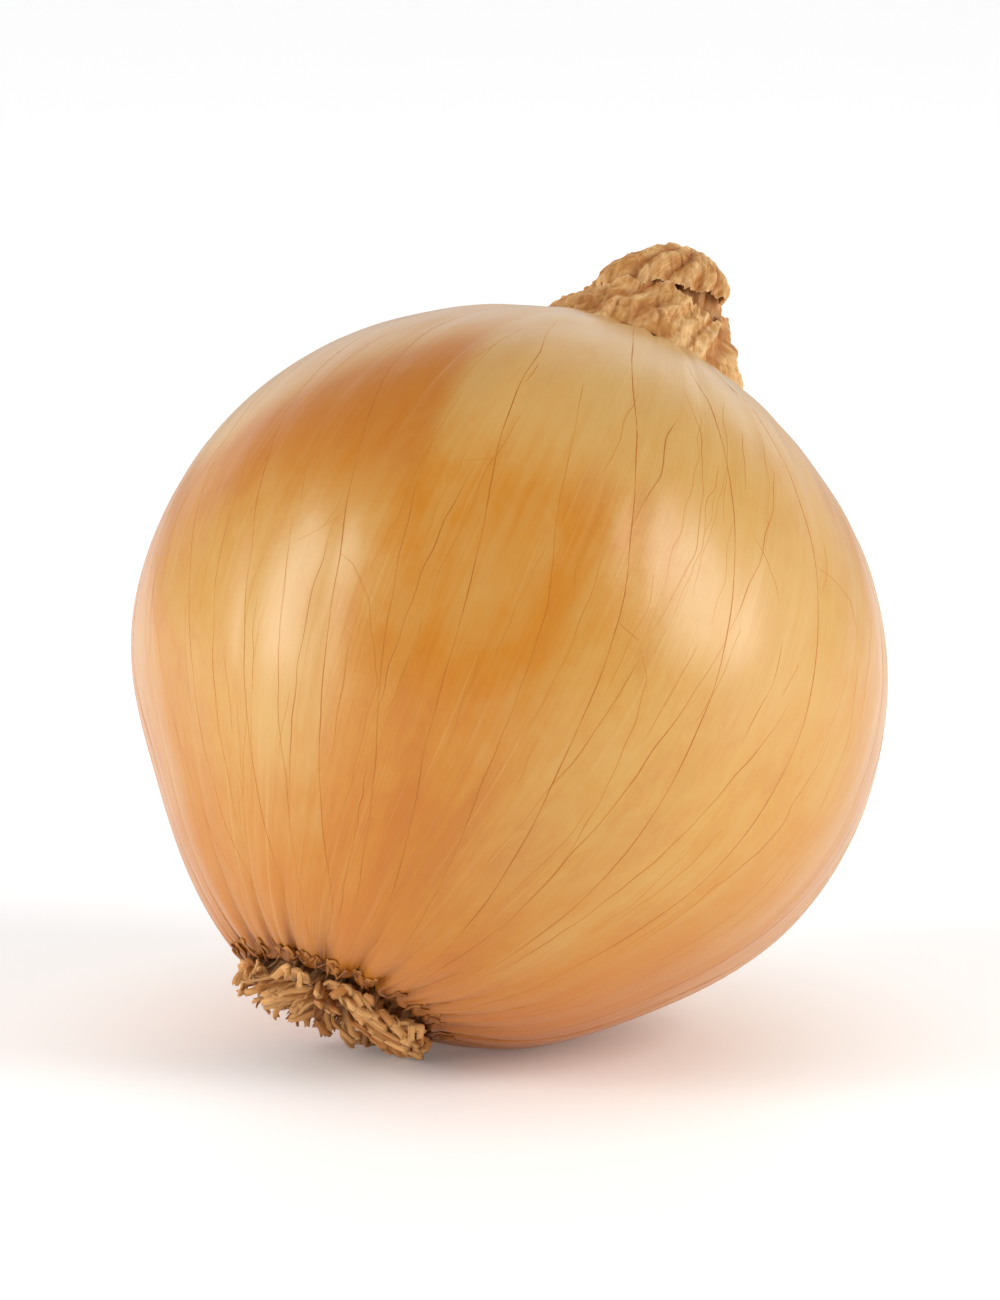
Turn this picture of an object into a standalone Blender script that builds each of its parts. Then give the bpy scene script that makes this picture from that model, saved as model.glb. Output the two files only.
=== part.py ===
"""A yellow onion as it rests on a table: the bulb in its dry golden skin, the withered neck folded over on
top, and the root plate below with its tuft of dry roots.

The onion is modelled about its own axis, which runs up from the root plate to the neck. The bulb's centre
is the local origin, and local +X points to the side that shows. The onion is then leaned over onto the
flatter cone of its root end, as it lies by itself, and lowered until a small flat spot meets the ground.
"""

import math
import random

import bmesh
import bpy
from mathutils import Matrix, Vector

MM = 0.001

# The bulb: a globe, pulled in a little to a cone at the root end and at the shoulder under the neck.
BULB_RADIUS = 40.2 * MM
CONE_PULL = 0.040
CONE_POLAR = 48.0
CONE_SPREAD = 18.7
SHOULDER_PULL = 0.028
SHOULDER_POLAR = 152.0
SHOULDER_SPREAD = 27.0
RIM_FLARE = 0.004
RIM_POLAR = 15.5
RIM_SPREAD = 7.0
LOBE_DEPTH = 0.004

# The skin's pleats, gathered round the root plate and again, more weakly, under the neck.
PLEATS = 25
COLUMNS_A_PLEAT = 4
SKIN_ROWS = 27
ROOT_PLEAT_DEPTH = 0.75 * MM
ROOT_PLEAT_FADE = 4.5 * MM
NECK_PLEAT_DEPTH = 0.35 * MM
NECK_PLEAT_FADE = 6.0 * MM
RIB_DEPTH = 0.06 * MM

# The root end sits a little off the axis: swung towards local -Y, and tilted back to face straight down.
ROOT_SWING = math.radians(5.0)
SWING_SPREAD = 60.0
ROOT_TILT = math.radians(6.0)
TILT_SPREAD = 22.0
ROOT_DRAWN_IN = 0.2 * MM

# The socket that the skin's rim leaves round the root plate.
SOCKET_FLOOR = -37.2 * MM
SOCKET_FLOOR_RADIUS = 9.0 * MM
SOCKET_WALL_RADIUS = 9.7 * MM
SOCKET_WALL_TOP = -38.5 * MM
LIP_RADIUS = 10.2 * MM
LIP_TOP = -39.15 * MM
GAP = 0.3 * MM

# The root plate and its roots.
PLATE_RADIUS = 8.5 * MM
PLATE_EDGE = -38.4 * MM
PLATE_CROWN = -39.3 * MM
PLATE_SIDES = 40
ROOTS = 78
TUFT_SEED = 7
ROOT_SIDES = 5
ROOT_STEPS = 4
ROOT_WIDTH = 1.35 * MM
ROOT_THICKNESS = 0.85 * MM
ROOT_LENGTHS = (4.2 * MM, 7.2 * MM)
ROOT_SUNK = 0.8 * MM
TUFT_DEPTH = -42.4 * MM
TUFT_RADIUS = 11.1 * MM
ROOT_DROOP = 0.22
SKIN_CLEARANCE = 0.42 * MM
GROUND_CLEARANCE = 0.12 * MM

# The neck: a crumpled sheath that flares onto the shoulder, and a hood folded over out of it. Each level
# is an upright oval ring: height and reach at its local -Y side, then at its +Y side, in millimetres, the
# depth of its folds as a share of its radius, and how far the mouth at the front right is drawn in.
NECK_SHIFT = 0.4 * MM
SKIRT_RADIUS = 11.7 * MM
FOLD_COLUMNS = 4
CRUMPLE = 0.42 * MM
SHEATH_FOLDS = 15
SHEATH_DEEP = 0.94
SHEATH_LEVELS = (
    (38.9, -10.9, 39.2, 10.9, 0.04, 0.0),
    (40.3, -10.1, 40.9, 9.8, 0.07, 0.0),
    (41.4, -9.1, 42.6, 8.8, 0.11, 0.0),
    (42.2, -8.2, 44.0, 8.2, 0.15, 0.0),
    (42.6, -7.5, 45.2, 7.6, 0.18, 0.0),
    (42.9, -6.8, 46.0, 6.5, 0.14, 0.0),
)
HOOD_FOLDS = 13
HOOD_DEEP = 0.90
HOOD_LEVELS = (
    (42.4, -5.9, 44.4, 4.0, 0.05, 0.10),
    (43.6, -6.9, 45.7, 4.4, 0.10, 0.32),
    (45.2, -6.8, 46.8, 5.0, 0.16, 0.36),
    (46.7, -6.2, 47.9, 5.7, 0.20, 0.04),
    (48.0, -5.2, 48.9, 5.8, 0.22, 0.0),
    (49.2, -4.0, 49.9, 5.3, 0.24, 0.0),
    (50.4, -2.9, 50.8, 4.3, 0.24, 0.0),
    (51.3, -1.6, 51.5, 3.0, 0.20, 0.0),
)
MOUTH_TURN = math.radians(58.0)
MOUTH_SPREAD = math.radians(42.0)

# How it lies: leaned over from upright, towards a heading, and spun about its own axis.
LEAN = math.radians(33.0)
HEADING = math.radians(47.5)
SPIN = math.radians(-136.5)
FLAT_CUT = 0.6 * MM

GOLDEN_SKIN = ("golden_skin", (0.66, 0.33, 0.10), 0.42)
DRY_NECK = ("dry_neck", (0.56, 0.31, 0.14), 0.75)
DRY_ROOTS = ("dry_roots", (0.50, 0.31, 0.14), 0.85)


def clear_scene():
    for thing in list(bpy.data.objects):
        bpy.data.objects.remove(thing, do_unlink=True)


def plain_material(name, colour, roughness):
    material = bpy.data.materials.new(name)
    material.use_nodes = True
    shader = material.node_tree.nodes["Principled BSDF"]
    shader.inputs["Base Color"].default_value = (*colour, 1.0)
    shader.inputs["Roughness"].default_value = roughness
    shader.inputs["Metallic"].default_value = 0.0
    return material


def bell(value, centre, spread):
    """1 at the centre, falling away smoothly on both sides."""
    return math.exp(-(((value - centre) / spread) ** 2))


def triangle_wave(phase):
    """Runs straight from 0 at whole phases to 1 halfway between them."""
    return 1.0 - abs(2.0 * (phase % 1.0) - 1.0)


def ring_solid(name, first, rings, last):
    """One closed mesh: a fan round the first point, quads from ring to ring, a fan round the last point."""
    mesh = bmesh.new()
    loops = [[mesh.verts.new(point) for point in ring] for ring in rings]
    start = mesh.verts.new(first)
    end = mesh.verts.new(last)
    count = len(loops[0])
    for i in range(count):
        j = (i + 1) % count
        mesh.faces.new((start, loops[0][j], loops[0][i]))
        for lower, upper in zip(loops, loops[1:]):
            mesh.faces.new((lower[i], lower[j], upper[j], upper[i]))
        mesh.faces.new((end, loops[-1][i], loops[-1][j]))
    data = bpy.data.meshes.new(name)
    mesh.to_mesh(data)
    mesh.free()
    data.shade_smooth()
    data.set_sharp_from_angle(angle=math.radians(40.0))
    thing = bpy.data.objects.new(name, data)
    bpy.context.scene.collection.objects.link(thing)
    return thing


def fill_pockets(data):
    """Keeps the largest shell of a mesh only, which fills any pocket sealed in between fused pieces."""
    mesh = bmesh.new()
    mesh.from_mesh(data)
    left = set(mesh.verts)
    shells = []
    while left:
        shell = {left.pop()}
        edge_of_shell = list(shell)
        while edge_of_shell:
            vertex = edge_of_shell.pop()
            beside = {edge.other_vert(vertex) for edge in vertex.link_edges} & left
            left -= beside
            shell |= beside
            edge_of_shell.extend(beside)
        shells.append(shell)
    shells.sort(key=len)
    for shell in shells[:-1]:
        bmesh.ops.delete(mesh, geom=list(shell), context="VERTS")
    mesh.to_mesh(data)
    mesh.free()


def fuse(base, others):
    """Joins the other objects to the base with one Boolean union and removes them."""
    group = bpy.data.collections.new(base.name + "_pieces")
    for other in others:
        bpy.context.scene.collection.objects.unlink(other)
        group.objects.link(other)
    bpy.context.scene.collection.children.link(group)
    union = base.modifiers.new("union", "BOOLEAN")
    union.operation = "UNION"
    union.operand_type = "COLLECTION"
    union.collection = group
    union.solver = "MANIFOLD"
    graph = bpy.context.evaluated_depsgraph_get()
    joined = bpy.data.meshes.new_from_object(base.evaluated_get(graph))
    fill_pockets(joined)
    base.modifiers.clear()
    base.data = joined
    for other in others:
        bpy.data.objects.remove(other, do_unlink=True)
    bpy.data.collections.remove(group)
    return base


def pleat_turn(base):
    """The direction round the axis of a column of skin. The pleats that it follows aren't all as wide."""
    return base + 0.035 * math.sin(3.0 * base + 1.0) + 0.018 * math.sin(8.0 * base + 2.0)


def pleat_wave(base):
    """0 in the furrow between two pleats and 1 along a pleat's rounded crown."""
    return abs(math.sin(0.5 * PLEATS * base)) ** 0.6


def globe_reach(polar, base):
    """Distance from the bulb's centre to its smooth skin. polar is the angle from the root end."""
    degrees = math.degrees(polar)
    shape = 1.0 - CONE_PULL * bell(degrees, CONE_POLAR, CONE_SPREAD)
    shape -= SHOULDER_PULL * bell(degrees, SHOULDER_POLAR, SHOULDER_SPREAD)
    shape += RIM_FLARE * bell(degrees, RIM_POLAR, RIM_SPREAD)
    lobes = math.cos(2.0 * base + 0.6) + 0.7 * math.cos(3.0 * base + 2.2)
    return BULB_RADIUS * (shape + LOBE_DEPTH * math.sin(polar) ** 2 * lobes)


def off_axis(point):
    """Where a point of the straight onion goes as its root end is swung off the axis and tilted back."""
    polar = math.degrees(math.atan2(math.hypot(point.x, point.y), -point.z))
    swing = Matrix.Rotation(-ROOT_SWING / (1.0 + (polar / SWING_SPREAD) ** 4), 3, "X")
    moved = swing @ point
    slope = math.tan(ROOT_TILT) * (moved.y + BULB_RADIUS * math.sin(ROOT_SWING))
    moved.z += (slope + ROOT_DRAWN_IN) / (1.0 + (polar / TILT_SPREAD) ** 6)
    return moved


def furrow_depth(polar):
    """How deep the furrows between pleats lie below the smooth skin."""
    from_root = BULB_RADIUS * (polar - math.radians(RIM_POLAR))
    from_neck = BULB_RADIUS * (math.pi - polar) - SKIRT_RADIUS
    at_root = ROOT_PLEAT_DEPTH * math.exp(-max(0.0, from_root) / ROOT_PLEAT_FADE)
    at_neck = NECK_PLEAT_DEPTH * math.exp(-abs(from_neck) / NECK_PLEAT_FADE)
    return at_root + at_neck + RIB_DEPTH


def skin_point(polar, base):
    """A point of the pleated skin, about the onion's own axis."""
    reach = globe_reach(polar, base) - furrow_depth(polar) * (1.0 - pleat_wave(base))
    turn = pleat_turn(base)
    out = reach * math.sin(polar)
    return Vector((out * math.cos(turn), out * math.sin(turn), -reach * math.cos(polar)))


def socket_ring(radius, height, notch, columns):
    """A ring of the socket, notched by the furrows of the pleats."""
    ring = []
    for column in range(columns):
        base = math.tau * column / columns
        turn = pleat_turn(base)
        out = radius + notch * (1.0 - pleat_wave(base))
        ring.append(Vector((out * math.cos(turn), out * math.sin(turn), height)))
    return ring


def make_bulb():
    columns = PLEATS * COLUMNS_A_PLEAT
    rings = [
        socket_ring(SOCKET_FLOOR_RADIUS, SOCKET_FLOOR, 0.0, columns),
        socket_ring(SOCKET_WALL_RADIUS, SOCKET_WALL_TOP, 0.3 * MM, columns),
        socket_ring(LIP_RADIUS, LIP_TOP, 0.35 * MM, columns),
    ]
    for row in range(SKIN_ROWS):
        share = row / SKIN_ROWS
        # Rows stand closer together near the root end, where the pleats are.
        degrees = RIM_POLAR + (180.0 - RIM_POLAR) * share * (0.72 + 0.28 * share)
        polar = math.radians(degrees)
        rings.append([skin_point(polar, math.tau * k / columns) for k in range(columns)])
    crown = Vector((0.0, 0.0, globe_reach(math.pi, 0.0)))
    return ring_solid("bulb", Vector((0.0, 0.0, SOCKET_FLOOR)), rings, crown)


def cut_flat_spot(bulb, attitude, ground):
    """Cuts the leaned bulb along the ground, so that it rests on a small flat face."""
    normal = attitude.to_3x3().inverted() @ Vector((0.0, 0.0, -1.0))
    point = attitude.inverted() @ Vector((0.0, 0.0, ground))
    mesh = bmesh.new()
    mesh.from_mesh(bulb.data)
    everything = mesh.verts[:] + mesh.edges[:] + mesh.faces[:]
    cut = bmesh.ops.bisect_plane(
        mesh, geom=everything, dist=1e-7, plane_co=point, plane_no=normal, clear_outer=True
    )
    rim = [part for part in cut["geom_cut"] if isinstance(part, bmesh.types.BMEdge)]
    bmesh.ops.edgeloop_fill(mesh, edges=rim)
    bmesh.ops.recalc_face_normals(mesh, faces=mesh.faces[:])
    mesh.to_mesh(bulb.data)
    mesh.free()


def root_path(rng, index, attitude):
    """Points along one root: out of the plate, bent over sideways and curled, pressed clear of the skin
    and of the ground."""
    share = math.sqrt((index + 0.5) / ROOTS)
    around = math.radians(137.5) * index + rng.uniform(-0.25, 0.25)
    outward = Vector((math.cos(around), math.sin(around), 0.0))
    sideways = Vector((-outward.y, outward.x, 0.0))
    radius = (PLATE_RADIUS - 0.6 * MM) * share
    crown = PLATE_CROWN + (PLATE_EDGE - PLATE_CROWN) * share**2
    point = outward * radius + Vector((0.0, 0.0, crown + ROOT_SUNK))
    splay = 0.15 + 0.75 * share + rng.uniform(-0.15, 0.25)
    heading = (outward * splay + sideways * rng.uniform(-0.5, 0.5) + Vector((0.0, 0.0, -1.0))).normalized()
    curl = sideways * rng.uniform(-0.5, 0.5) + outward * (0.2 + 0.3 * share)
    leaned = attitude.to_3x3() @ Matrix.Rotation(-ROOT_SWING, 3, "X")
    droop = leaned.inverted() @ Vector((0.0, 0.0, -ROOT_DROOP))
    length = rng.uniform(*ROOT_LENGTHS)
    points = [point]
    for step in range(ROOT_STEPS):
        point = point + heading * (length / ROOT_STEPS)
        heading = (heading + 0.8 * curl + step * droop).normalized()
        points.append(press_clear(point, attitude))
    return points


def press_clear(point, attitude):
    """Moves a root's point off the skin's rim, into the tuft's depth and up off the ground. Where the ground
    leaves it no room beside the skin, it is drawn in towards the axis."""
    half = 0.5 * ROOT_WIDTH
    clear = BULB_RADIUS * (1.0 + RIM_FLARE) + half + SKIN_CLEARANCE
    leaned = attitude.to_3x3() @ Matrix.Rotation(-ROOT_SWING, 3, "X")
    upward = leaned.inverted() @ Vector((0.0, 0.0, 1.0))
    if point.z < TUFT_DEPTH:
        point = Vector((point.x, point.y, TUFT_DEPTH + 0.25 * (point.z - TUFT_DEPTH)))
    over = math.hypot(point.x, point.y) / TUFT_RADIUS
    if over > 1.0:
        point = Vector((point.x / over, point.y / over, point.z))
    for _ in range(20):
        beside_skin = math.hypot(point.x, point.y) > SOCKET_FLOOR_RADIUS - half
        if beside_skin and point.length < clear:
            point = point * (clear / point.length)
        low = half + GROUND_CLEARANCE - (attitude @ off_axis(point)).z
        if low <= 0.0:
            break
        point = point + upward * low
        if not beside_skin or point.length >= clear:
            break
        point = Vector((0.95 * point.x, 0.95 * point.y, point.z))
    return point


def strand(name, points, rng):
    """A flattened, tapering root along its points, with a pinched tip."""
    rings = []
    previous = Vector((0.0, 0.0, 1.0)).cross(points[1] - points[0]).normalized()
    for i, point in enumerate(points):
        ahead = points[min(i + 1, len(points) - 1)] - points[max(i - 1, 0)]
        along = ahead.normalized()
        wide = (previous - along * previous.dot(along)).normalized()
        thick = along.cross(wide)
        previous = wide
        taper = 1.0 - 0.45 * (i / ROOT_STEPS) ** 2
        swell = rng.uniform(0.85, 1.15) * taper
        ring = []
        for side in range(ROOT_SIDES):
            angle = math.tau * side / ROOT_SIDES
            across = wide * (0.5 * ROOT_WIDTH * swell * math.cos(angle))
            through = thick * (0.5 * ROOT_THICKNESS * swell * math.sin(angle))
            ring.append(point + across + through)
        rings.append(ring)
    tip = points[-1] + (points[-1] - points[-2]).normalized() * 0.25 * MM
    return ring_solid(name, points[0], rings, tip)


def make_root_tuft(attitude):
    """The corky root plate, a low dome, with every root fused into it."""
    rng = random.Random(TUFT_SEED)
    rings = []
    profile = (
        (PLATE_RADIUS, SOCKET_FLOOR - GAP),
        (PLATE_RADIUS, PLATE_EDGE),
        (0.62 * PLATE_RADIUS, 0.45 * PLATE_EDGE + 0.55 * PLATE_CROWN),
    )
    for radius, height in reversed(profile):
        angles = [math.tau * k / PLATE_SIDES for k in range(PLATE_SIDES)]
        rings.append([Vector((radius * math.cos(a), radius * math.sin(a), height)) for a in angles])
    plate = ring_solid(
        "root_tuft", Vector((0.0, 0.0, PLATE_CROWN)), rings, Vector((0.0, 0.0, SOCKET_FLOOR - GAP))
    )
    roots = [strand(f"root_{k}", root_path(rng, k, attitude), rng) for k in range(ROOTS)]
    return fuse(plate, roots)


def crumple(point, rng_phases):
    """Sharp creases in many directions, as in crushed paper: straight-sided waves that cross."""
    total = 0.0
    for direction, length, phase in rng_phases:
        total += triangle_wave(point.dot(direction) / length + phase) - 0.5
    return total / len(rng_phases)


def crease_set(rng, count, shortest, longest):
    """Random directions, wavelengths and phases for the creases."""
    creases = []
    for _ in range(count):
        direction = Vector((rng.gauss(0, 1), rng.gauss(0, 1), rng.gauss(0, 0.6))).normalized()
        creases.append((direction, rng.uniform(shortest, longest), rng.random()))
    return creases


def folded_ring(level, folds, deep, strengths, creases):
    """A ring of a withered leaf base: an oval with sharp upright folds of unequal strength, crumpled. deep
    is its reach along local X as a share of that along local Y."""
    low_height, low_side, high_height, high_side, depth, mouth = level
    radius = 0.5 * (high_side - low_side)
    centre = 0.5 * (high_side + low_side)
    middle = 0.5 * (high_height + low_height)
    ring = []
    for column in range(folds * FOLD_COLUMNS):
        share = column / FOLD_COLUMNS
        turn = math.tau * share / folds + 0.02 * (middle - 40.0)
        strength = strengths[int(share)]
        out = 1.0 + depth * strength * (triangle_wave(share) - 0.4)
        out -= mouth * bell(turn, MOUTH_TURN, MOUTH_SPREAD)
        side = radius * out * math.sin(turn)
        height = middle + 0.5 * (high_height - low_height) * out * math.sin(turn)
        point = Vector((deep * radius * out * math.cos(turn), centre + side, height)) * MM
        outward = Vector((math.cos(turn), math.sin(turn), 0.25))
        ring.append(point + outward * (2.0 * CRUMPLE * crumple(point, creases)))
    return ring


def seat_ring(radius, columns):
    """A ring that follows the bulb's shoulder, a gap's width off it."""
    ring = []
    for column in range(columns):
        turn = math.tau * column / columns
        point = Vector((radius * math.cos(turn), NECK_SHIFT + radius * math.sin(turn), 0.0))
        out = math.hypot(point.x, point.y)
        polar = math.pi - math.asin(out / BULB_RADIUS)
        reach = globe_reach(polar, math.atan2(point.y, point.x)) + GAP
        point.z = math.sqrt(reach**2 - out**2)
        ring.append(point)
    return ring


def make_sheath():
    """The outer leaf bases: a pleated cone that flares out on the shoulder and ends in a torn rim."""
    rng = random.Random(5)
    strengths = [rng.uniform(0.5, 1.5) for _ in range(SHEATH_FOLDS)]
    creases = crease_set(rng, 4, 1.8 * MM, 4.2 * MM)
    columns = SHEATH_FOLDS * FOLD_COLUMNS
    rings = [seat_ring(0.5 * SKIRT_RADIUS, columns), seat_ring(SKIRT_RADIUS, columns)]
    for level in SHEATH_LEVELS:
        rings.append(folded_ring(level, SHEATH_FOLDS, SHEATH_DEEP, strengths, creases))
    seat = Vector((0.0, NECK_SHIFT, globe_reach(math.pi, 0.0) + GAP))
    crown = Vector((0.0, 0.2, 45.0)) * MM
    return ring_solid("neck", seat, rings, crown)


def make_hood():
    """The inner leaf bases, folded over in a crumpled hood with a mouth at the front right."""
    rng = random.Random(23)
    strengths = [rng.uniform(0.5, 1.5) for _ in range(HOOD_FOLDS)]
    creases = crease_set(rng, 4, 1.6 * MM, 3.6 * MM)
    rings = [folded_ring(level, HOOD_FOLDS, HOOD_DEEP, strengths, creases) for level in HOOD_LEVELS]
    return ring_solid("hood", Vector((0.0, -1.0, 43.0)) * MM, rings, Vector((0.0, 0.8, 52.0)) * MM)


def settle(thing):
    """Moves a straight piece's points to where they are in the onion with its root end off the axis."""
    for vertex in thing.data.vertices:
        vertex.co = off_axis(vertex.co)
    return thing


def place(thing, attitude, colour):
    thing.matrix_world = attitude
    thing.data.materials.clear()
    thing.data.materials.append(plain_material(*colour))


def main():
    clear_scene()
    turn = Matrix.Rotation(HEADING, 4, "Z") @ Matrix.Rotation(LEAN, 4, "Y") @ Matrix.Rotation(SPIN, 4, "Z")
    bulb = settle(make_bulb())
    lowest = min((turn @ vertex.co).z for vertex in bulb.data.vertices)
    ground = lowest + FLAT_CUT
    cut_flat_spot(bulb, turn, ground)
    attitude = Matrix.Translation((0.0, 0.0, -ground)) @ turn
    place(bulb, attitude, GOLDEN_SKIN)
    place(settle(fuse(make_sheath(), [make_hood()])), attitude, DRY_NECK)
    place(settle(make_root_tuft(attitude)), attitude, DRY_ROOTS)


main()
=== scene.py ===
"""Dresses a packed yellow onion: its golden skin with fine veins, its withered neck and its dry roots.

Shapes are worked out in millimetres about the onion's own axis: the bulb's centre is the origin, +Z runs
from the root plate to the neck, and +X points to the side that shows. Lean.place then leans them over onto
the ground, as the onion lies.
"""

from __future__ import annotations

import logging
import math
from dataclasses import dataclass, field
from enum import Enum

import bpy
import numpy as np
from mathutils import Matrix
from numpy.typing import NDArray


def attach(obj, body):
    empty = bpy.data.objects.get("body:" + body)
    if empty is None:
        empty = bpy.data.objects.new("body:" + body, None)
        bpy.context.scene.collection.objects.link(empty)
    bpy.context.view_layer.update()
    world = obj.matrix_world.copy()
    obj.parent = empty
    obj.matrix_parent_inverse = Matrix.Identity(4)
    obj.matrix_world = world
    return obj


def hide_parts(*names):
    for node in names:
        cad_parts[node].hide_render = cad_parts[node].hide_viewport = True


Array = NDArray[np.float64]
Colour = tuple[float, float, float]
Socket = bpy.types.NodeSocket

TAU = 2.0 * math.pi
MM = 0.001
LOG = logging.getLogger("onion")

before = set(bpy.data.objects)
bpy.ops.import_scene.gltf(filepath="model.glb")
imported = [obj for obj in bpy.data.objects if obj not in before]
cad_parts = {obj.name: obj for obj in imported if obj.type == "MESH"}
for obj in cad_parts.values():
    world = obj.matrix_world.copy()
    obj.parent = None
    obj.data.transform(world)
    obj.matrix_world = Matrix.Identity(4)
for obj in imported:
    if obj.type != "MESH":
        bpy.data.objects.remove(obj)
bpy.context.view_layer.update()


class Slot(Enum):
    """The material slots that the pieces take the names of their finishes from."""

    SKIN = "golden_skin"
    NECK = "dry_neck"
    ROOTS = "dry_roots"


class Solid(Enum):
    """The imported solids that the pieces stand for."""

    BULB = "bulb"
    NECK = "neck"
    TUFT = "root_tuft"


def bell(value: Array, centre: float, spread: float) -> Array:
    """exp(-((value - centre) / spread)^2): 1 at the centre, falling away on both sides."""
    return np.exp(-(((value - centre) / spread) ** 2))


def triangle_wave(phase: Array) -> Array:
    """Runs straight from 0 at whole phases to 1 halfway between them."""
    return 1.0 - np.abs(2.0 * (phase % 1.0) - 1.0)


def smooth_step(value: Array, low: float, high: float) -> Array:
    """0 below low and 1 above high, with 3x^2 - 2x^3 between them."""
    share = np.clip((value - low) / (high - low), 0.0, 1.0)
    return share * share * (3.0 - 2.0 * share)


def fall(value: Array, low: float, high: float) -> Array:
    """1 below low and 0 above high: what smooth_step leaves."""
    return 1.0 - smooth_step(value, low, high)


def fading(value: Array, start: float, length: float) -> Array:
    """exp(-(value - start) / length) past the start, and 1 before it."""
    return np.exp(-np.maximum(0.0, value - start) / length)


def unit(vectors: Array) -> Array:
    """Each vector divided by its length."""
    return vectors / np.maximum(np.linalg.norm(vectors, axis=-1, keepdims=True), 1e-12)


def signed(turn: Array) -> Array:
    """Directions in radians, brought to -pi..pi."""
    return (turn + math.pi) % TAU - math.pi


def circle(turn: Array, rise: float | Array = 0.0) -> Array:
    """(cos turn, sin turn, rise) for each direction."""
    return np.stack([np.cos(turn), np.sin(turn), rise + 0.0 * turn], axis=-1)


def carried(spines: Array, side: Array, normal: Array, x: Array, z: Array) -> Array:
    """Carries a section along spines: each ring point is the spine's, plus x times side and z times normal.

    Args:
        spines: Points along each spine, (spines, steps, 3).
        side: Where the section's x points, the same shape.
        normal: Where its z points, the same shape.
        x: The section's x in mm, (spines, steps, sides).
        z: Its z in mm, (spines, steps, sides).

    Returns:
        Ring points, (spines, steps, sides, 3).
    """
    return spines[:, :, None] + side[:, :, None] * x[..., None] + normal[:, :, None] * z[..., None]


@dataclass(frozen=True)
class Ripple:
    """Smooth random waves in space: a sum of sines of p.k + phase over seeded directions k."""

    seed: int
    shortest: float
    longest: float
    count: int = 10

    def draws(self) -> tuple[Array, Array]:
        """The wave vectors, one a row, and their phases in turns.

        Returns:
            Wave vectors in turns per millimetre, and phases from 0 to 1.
        """
        rng = np.random.default_rng(self.seed)
        directions = unit(rng.normal(size=(self.count, 3)))
        lengths = rng.uniform(self.shortest, self.longest, self.count)
        return directions / lengths[:, None], rng.uniform(0.0, 1.0, self.count)

    def at(self, points: Array) -> Array:
        """The sum of the sines, scaled to a spread of about 1.

        Args:
            points: Points in millimetres, (..., 3).

        Returns:
            One value per point.
        """
        waves, phases = self.draws()
        return np.sin(TAU * (points @ waves.T + phases)).sum(axis=-1) * math.sqrt(2.0 / self.count)

    def creased(self, points: Array) -> Array:
        """As at, with straight-sided waves, which crease where they turn, as crushed paper does.

        Args:
            points: Points in millimetres, (..., 3).

        Returns:
            One value per point, from about -1 to 1.
        """
        waves, phases = self.draws()
        turns = triangle_wave(points @ waves.T + phases) - 0.5
        return turns.sum(axis=-1) * 2.0 / math.sqrt(self.count)


@dataclass(frozen=True)
class Lean:
    """How the onion lies, and how its root end sits off the axis. Angles in degrees, lengths in mm."""

    centre_height: float = 38.478
    lean: float = 33.0
    heading: float = 47.5
    spin: float = -136.5
    root_swing: float = 5.0
    swing_spread: float = 60.0
    root_tilt: float = 6.0
    tilt_spread: float = 22.0
    drawn_in: float = 0.2
    radius: float = 40.2

    def turn(self) -> Array:
        """The turn from the onion's axis to its lean: about Z by spin, Y by lean, then Z by heading.

        Returns:
            The 3x3 matrix.
        """

        def about_z(degrees: float) -> Array:
            """The matrix of a turn about Z."""
            c, s = math.cos(math.radians(degrees)), math.sin(math.radians(degrees))
            return np.array([[c, -s, 0.0], [s, c, 0.0], [0.0, 0.0, 1.0]])

        c, s = math.cos(math.radians(self.lean)), math.sin(math.radians(self.lean))
        about_y = np.array([[c, 0.0, s], [0.0, 1.0, 0.0], [-s, 0.0, c]])
        return about_z(self.heading) @ about_y @ about_z(self.spin)

    def off_axis(self, points: Array) -> Array:
        """Swings the root end off the axis and tilts it back.

        The swing is a turn about X by -root_swing / (1 + (polar / swing_spread)^4). The tilt then adds
        (tan(root_tilt) (y + R sin(root_swing)) + drawn_in) / (1 + (polar / tilt_spread)^6) to z. polar is
        the angle from the root end, in degrees.

        Args:
            points: Points about the straight axis, (..., 3).

        Returns:
            The moved points, (..., 3).
        """
        x, y, z = points[..., 0], points[..., 1], points[..., 2]
        polar = np.degrees(np.arctan2(np.hypot(x, y), -z))
        angle = -math.radians(self.root_swing) / (1.0 + (polar / self.swing_spread) ** 4)
        across = y * np.cos(angle) - z * np.sin(angle)
        along = y * np.sin(angle) + z * np.cos(angle)
        swung = self.radius * math.sin(math.radians(self.root_swing))
        slope = math.tan(math.radians(self.root_tilt)) * (across + swung)
        along = along + (slope + self.drawn_in) / (1.0 + (polar / self.tilt_spread) ** 6)
        return np.stack([x, across, along], axis=-1)

    def leaned(self, points: Array) -> Array:
        """Settled points leaned over and lifted onto the ground, in millimetres."""
        return points @ self.turn().T + np.array([0.0, 0.0, self.centre_height])

    def place(self, points: Array) -> Array:
        """Brings points of the straight onion to where they lie, none of them below the ground.

        Args:
            points: Points about the straight axis in mm, (..., 3).

        Returns:
            The points in metres, (..., 3).
        """
        placed = self.leaned(self.off_axis(points))
        placed[..., 2] = np.maximum(placed[..., 2], 0.0)
        return placed * MM


LEAN = Lean()


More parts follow.
